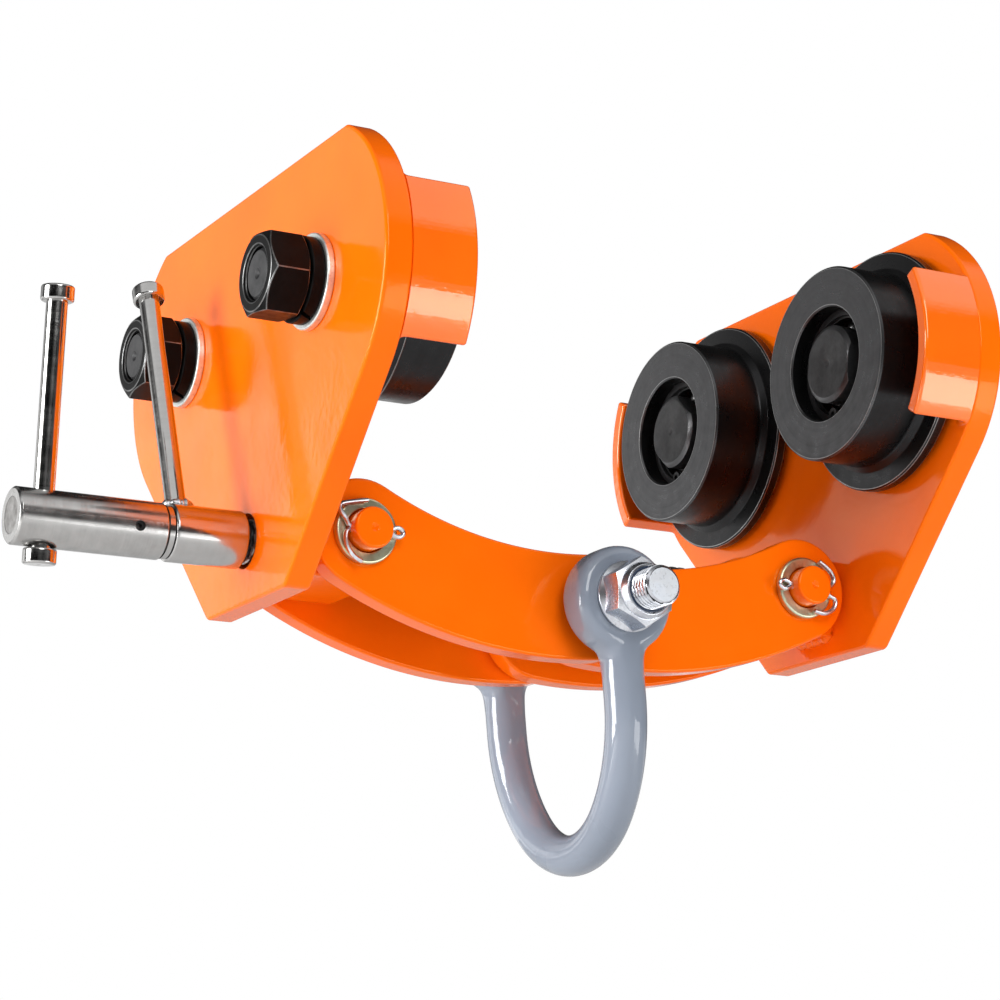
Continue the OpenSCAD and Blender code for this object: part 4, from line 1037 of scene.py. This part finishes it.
WHEEL_KEYS = [f"{end}_{side[0]}" for end in ENDS for side in SIDES]
KEPT = {
    "bearing steel": [f"{kind}_{key}" for kind in ("bearing_outer", "balls") for key in WHEEL_KEYS]
    + ["bearing_inners_l", "bearing_inners_r"],
    "forged black": [f"clip_{key}" for key in WHEEL_KEYS],
    "bright zinc": ["axle_spacers_l", "axle_spacers_r", "bolt_spacer"],
    # the roll pin is coloured near black, painted shade that makes it read as a hole
    "roll pin in painted shade": ["roll_pin"],
    "polished plate": ["thrust_ring"],
}


def dress_kept():
    """Gives the CAD nodes that stay in view their finishes."""
    for finish, nodes in KEPT.items():
        for name in nodes:
            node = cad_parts[name]
            for slot in node.material_slots:
                slot.material = bpy.data.materials[finish]
            if not node.material_slots:
                node.data.materials.append(bpy.data.materials[finish])


# Stage

def make_world():
    """Pale studio: white behind and below, a darker room above for gloss, and a few dark bands for bright metal."""
    world = bpy.data.worlds.new("studio")
    bpy.context.scene.world = world
    world.use_nodes = True
    tree = world.node_tree
    tree.nodes.clear()

    def add(kind, inputs=None, **settings):
        return add_node(tree, kind, inputs, **settings)

    def math_node(kind, a, b=0.0):
        return add("Math", {0: a, 1: b}, operation=kind).outputs[0]

    def multiply_add(a, b, c):
        return add("Math", {0: a, 1: b, 2: c}, operation="MULTIPLY_ADD").outputs[0]

    way = add("TexCoord").outputs["Generated"]
    part = add("SeparateXYZ", {0: way})
    x, y, z = (part.outputs[i] for i in range(3))
    turn = multiply_add(math_node("ARCTAN2", x, y), 0.5 / math.pi, 0.5)
    tilt = multiply_add(math_node("ARCSINE", z), 1 / math.pi, 0.5)

    def ramp(value, stops):
        node = add("ValToRGB", {"Fac": value})
        line = node.color_ramp
        for element, (at, level) in zip(list(line.elements), (stops[0], stops[-1])):
            element.position, element.color = at, (level, level, level, 1)
        for at, level in stops[1:-1]:
            line.elements.new(at).color = (level, level, level, 1)
        return node.outputs["Color"]

    def by_tilt(stops):
        return ramp(tilt, [((angle + 90) / 180, level) for angle, level in stops])

    def from_turn(low, start, end):
        return ramp(turn, [(0.0, 0.0), (low, 0.0), (start, 1.0), (end, 1.0), (0.475, 0.0), (1.0, 0.0)])

    round_about = ramp(turn, [
        (0.0, 0.10), (0.015, 0.8), (0.075, 0.8), (0.09, 0.05), (0.24, 0.05), (0.26, 0.85), (0.30, 0.85),
        (0.32, 0.12), (0.375, 0.14), (0.385, 0.85), (0.412, 0.85), (0.422, 0.0), (0.46, 0.0), (0.475, 0.18),
        (0.58, 0.18), (0.61, 0.08), (0.86, 0.06), (0.88, 1.0), (0.95, 1.0), (0.97, 0.1), (1.0, 0.10)])
    ahead = by_tilt([(-90, 0.5), (-30, 1.0), (-4, 1.0), (4, 0.0), (90, 0.0)])
    ahead_low = by_tilt([
        (-8, 0.0), (2, 1.9), (13.5, 1.9), (15.5, 0.35), (26, 0.35), (34, 0.15), (60, 0.10), (90, 0.25)])
    behind = by_tilt([(-90, 0.15), (-54, 0.25), (-42, 1.0), (-16, 1.0), (-10, 0.0), (0, 0.0), (90, 0.0)])
    behind_low = by_tilt([(-9, 0.0), (-2, 0.06), (28, 0.06), (36, 0.9), (60, 0.7), (72, 0.2), (90, 0.2)])
    front = add("MapRange", {"Value": y, "From Min": -0.08, "From Max": 0.08}).outputs["Result"]
    wall = math_node("MULTIPLY", from_turn(0.4265, 0.4285, 0.46),
                     by_tilt([(-90, 0.0), (-8, 0.0), (0, 1.3), (15.5, 1.3), (17, 0.55), (34, 0.3), (90, 0.0)]))
    upper_wall = math_node("MULTIPLY", from_turn(0.410, 0.418, 0.46),
                           by_tilt([(-90, 0.0), (15.2, 0.0), (16.0, 0.6), (26, 0.6), (34, 0.3), (90, 0.0)]))
    room_ahead = multiply_add(ahead_low, round_about, math_node("MULTIPLY", ahead, 1.3))
    room_ahead = math_node("ADD", room_ahead, math_node("MAXIMUM", wall, upper_wall))
    high = math_node("GREATER_THAN", z, 0.5)
    low_behind = multiply_add(behind_low, round_about, math_node("MULTIPLY", behind, 2.6))
    room_behind = multiply_add(math_node("MULTIPLY", behind_low, 1.2), high,
                               math_node("MULTIPLY", low_behind, math_node("SUBTRACT", 1.0, high)))
    change = math_node("SUBTRACT", room_ahead, room_behind)
    gloss = multiply_add(change, front, room_behind)
    rays = add("LightPath")
    level = add("Mix", {"Factor": rays.outputs["Is Glossy Ray"], "A": 0.5, "B": gloss})
    seen = math_node("MAXIMUM", rays.outputs["Is Camera Ray"], rays.outputs["Is Transmission Ray"])
    last = add("Mix", {"Factor": seen, "A": level.outputs["Result"], "B": 1.0})
    back = add("Background", {"Color": (1, 1, 1, 1), "Strength": last.outputs["Result"]})
    add("OutputWorld", {"Surface": back.outputs[0]})


def make_floor():
    """Wide pale floor below the object, clear when it is seen from beneath."""
    z, half = -0.5, 6.0
    mesh = bpy.data.meshes.new("floor")
    mesh.from_pydata([(-half, -half, z), (half, -half, z), (half, half, z), (-half, half, z)], [], [(0, 1, 2, 3)])
    floor = bpy.data.objects.new("floor", mesh)
    bpy.context.scene.collection.objects.link(floor)
    f = Finish("pale floor")
    f.set(base_color=f.mix(f.noise(3.0, 1.0), tint("floor"), scaled(tint("floor"), 1.02)), roughness=0.9)
    clear = f.add("BsdfTransparent")
    under = f.add("NewGeometry").outputs["Backfacing"]
    both = f.add("MixShader", {0: under, 1: f.shader.outputs[0], 2: clear.outputs[0]})
    feed(f.tree, f.tree.nodes["Material Output"].inputs["Surface"], both.outputs[0])
    mesh.materials.append(f.material)


def lamp(name, at, size, power):
    """Soft white lamp, its width and height in metres, that looks at the origin."""
    data = bpy.data.lights.new(name, "AREA")
    data.shape, data.size, data.size_y, data.energy = "RECTANGLE", *size, power
    light = bpy.data.objects.new(name, data)
    bpy.context.scene.collection.objects.link(light)
    away = np.asarray(at, float) / np.linalg.norm(at)
    across = np.cross((0, 0, 1), away)
    across /= np.linalg.norm(across)
    rows = np.column_stack([across, np.cross(away, across), away])
    light.matrix_world = Matrix.Translation([float(v) for v in at]) @ Matrix(rows.tolist()).to_4x4()


def make_camera():
    """Camera at the photograph's viewing angle: below the trolley, turned and tilted up."""
    yaw, pitch, roll = math.radians(28.882), math.radians(13.669), math.radians(-0.355)
    ahead = np.array([math.sin(yaw) * math.cos(pitch), math.cos(yaw) * math.cos(pitch), math.sin(pitch)])
    right = np.array([math.cos(yaw), -math.sin(yaw), 0.0])
    up = np.cross(right, ahead)
    across, above = math.cos(roll) * right + math.sin(roll) * up, -math.sin(roll) * right + math.cos(roll) * up
    data = bpy.data.cameras.new("camera")
    data.lens, data.sensor_width, data.sensor_fit = 2918.834 * 36 / 1000, 36, "HORIZONTAL"
    data.clip_start, data.clip_end = 0.05, 50
    camera = bpy.data.objects.new("camera", data)
    bpy.context.scene.collection.objects.link(camera)
    rows = np.column_stack([across, above, -ahead])
    camera.matrix_world = Matrix.Translation((-0.57438, -0.99514, -0.2939)) @ Matrix(rows.tolist()).to_4x4()
    bpy.context.scene.camera = camera


# Operators

class BuildFinishes(bpy.types.Operator):
    """Make the paints, platings and steels"""
    bl_idname = "trolley.finishes"
    bl_label = "Finishes"

    def execute(self, context):
        make_finishes()
        dress_kept()
        return {"FINISHED"}


class BuildSides(bpy.types.Operator):
    """Build the side plates with their guards and welded blocks"""
    bl_idname = "trolley.sides"
    bl_label = "Side Plates, Guards and Blocks"

    def execute(self, context):
        for name in SIDES:
            make_plate(name)
            make_block(name)
            for end in ENDS:
                make_guard(name, end)
        return {"FINISHED"}


class BuildArms(bpy.types.Operator):
    """Build the four bent arms with their pin washers and split pins"""
    bl_idname = "trolley.arms"
    bl_label = "Arms"

    def execute(self, context):
        for name in SIDES:
            make_pin_hardware(name)
            for end in ENDS:
                make_arm(name, end)
        return {"FINISHED"}


class BuildWheels(bpy.types.Operator):
    """Build the wheels, axles, axle nuts and washers"""
    bl_idname = "trolley.wheels"
    bl_label = "Wheels and Axles"

    def execute(self, context):
        for name in SIDES:
            make_axle_nuts(name)
            make_washers(name)
            for end in ENDS:
                make_wheel(name, end)
                make_axle(name, end)
        return {"FINISHED"}


class BuildShackle(bpy.types.Operator):
    """Build the bow shackle, its bolt and its flanged nut"""
    bl_idname = "trolley.shackle"
    bl_label = "Shackle"

    def execute(self, context):
        make_shackle()
        make_bolt()
        make_shackle_nut()
        return {"FINISHED"}


class BuildSpindle(bpy.types.Operator):
    """Build the spindle, its sleeve, the cross bar and the lock nut"""
    bl_idname = "trolley.spindle"
    bl_label = "Spindle and Handles"

    def execute(self, context):
        make_spindle()
        make_sleeve()
        make_t_bar()
        make_lock_nut()
        return {"FINISHED"}


class BuildStage(bpy.types.Operator):
    """Set the pale floor, the studio light and the camera"""
    bl_idname = "trolley.stage"
    bl_label = "Stage"

    def execute(self, context):
        context.scene.view_settings.view_transform = "Standard"
        make_world()
        make_floor()
        lamp("front lamp", (-0.4, -2.0, 0.9), (1.0, 1.0), 19.0)
        lamp("side lamp", (-2.1, 0.3, 0.15), (1.0, 1.0), 48.0)
        lamp("low lamp", (0.60, -0.93, -0.37), (0.65, 0.40), 3.6)
        make_camera()
        return {"FINISHED"}


STEPS = (BuildFinishes, BuildSides, BuildArms, BuildWheels, BuildShackle, BuildSpindle, BuildStage)


class TrolleyPanel(bpy.types.Panel):
    """Sizes, colours and build steps of the trolley"""
    bl_idname = "VIEW3D_PT_trolley"
    bl_label = "Beam Trolley"
    bl_space_type = "VIEW_3D"
    bl_region_type = "UI"
    bl_category = "Trolley"

    def draw(self, context):
        for step in STEPS:
            self.layout.operator(step.bl_idname)
        for group in (context.scene.trolley_shape, context.scene.trolley_colours):
            box = self.layout.box()
            for key in group.bl_rna.properties.keys():
                if key not in ("rna_type", "name"):
                    box.prop(group, key)


CLASSES = (TrolleyShape, TrolleyColours, *STEPS, TrolleyPanel)


def register():
    """Adds the classes and the scene's two groups of settings."""
    for each in CLASSES:
        bpy.utils.register_class(each)
    bpy.types.Scene.trolley_shape = bpy.props.PointerProperty(type=TrolleyShape)
    bpy.types.Scene.trolley_colours = bpy.props.PointerProperty(type=TrolleyColours)


def unregister():
    """Takes them away again."""
    del bpy.types.Scene.trolley_shape, bpy.types.Scene.trolley_colours
    for each in reversed(CLASSES):
        bpy.utils.unregister_class(each)


def main():
    register()
    for step in STEPS:
        group, name = step.bl_idname.split(".")
        getattr(getattr(bpy.ops, group), name)()


if __name__ == "__main__":
    main()
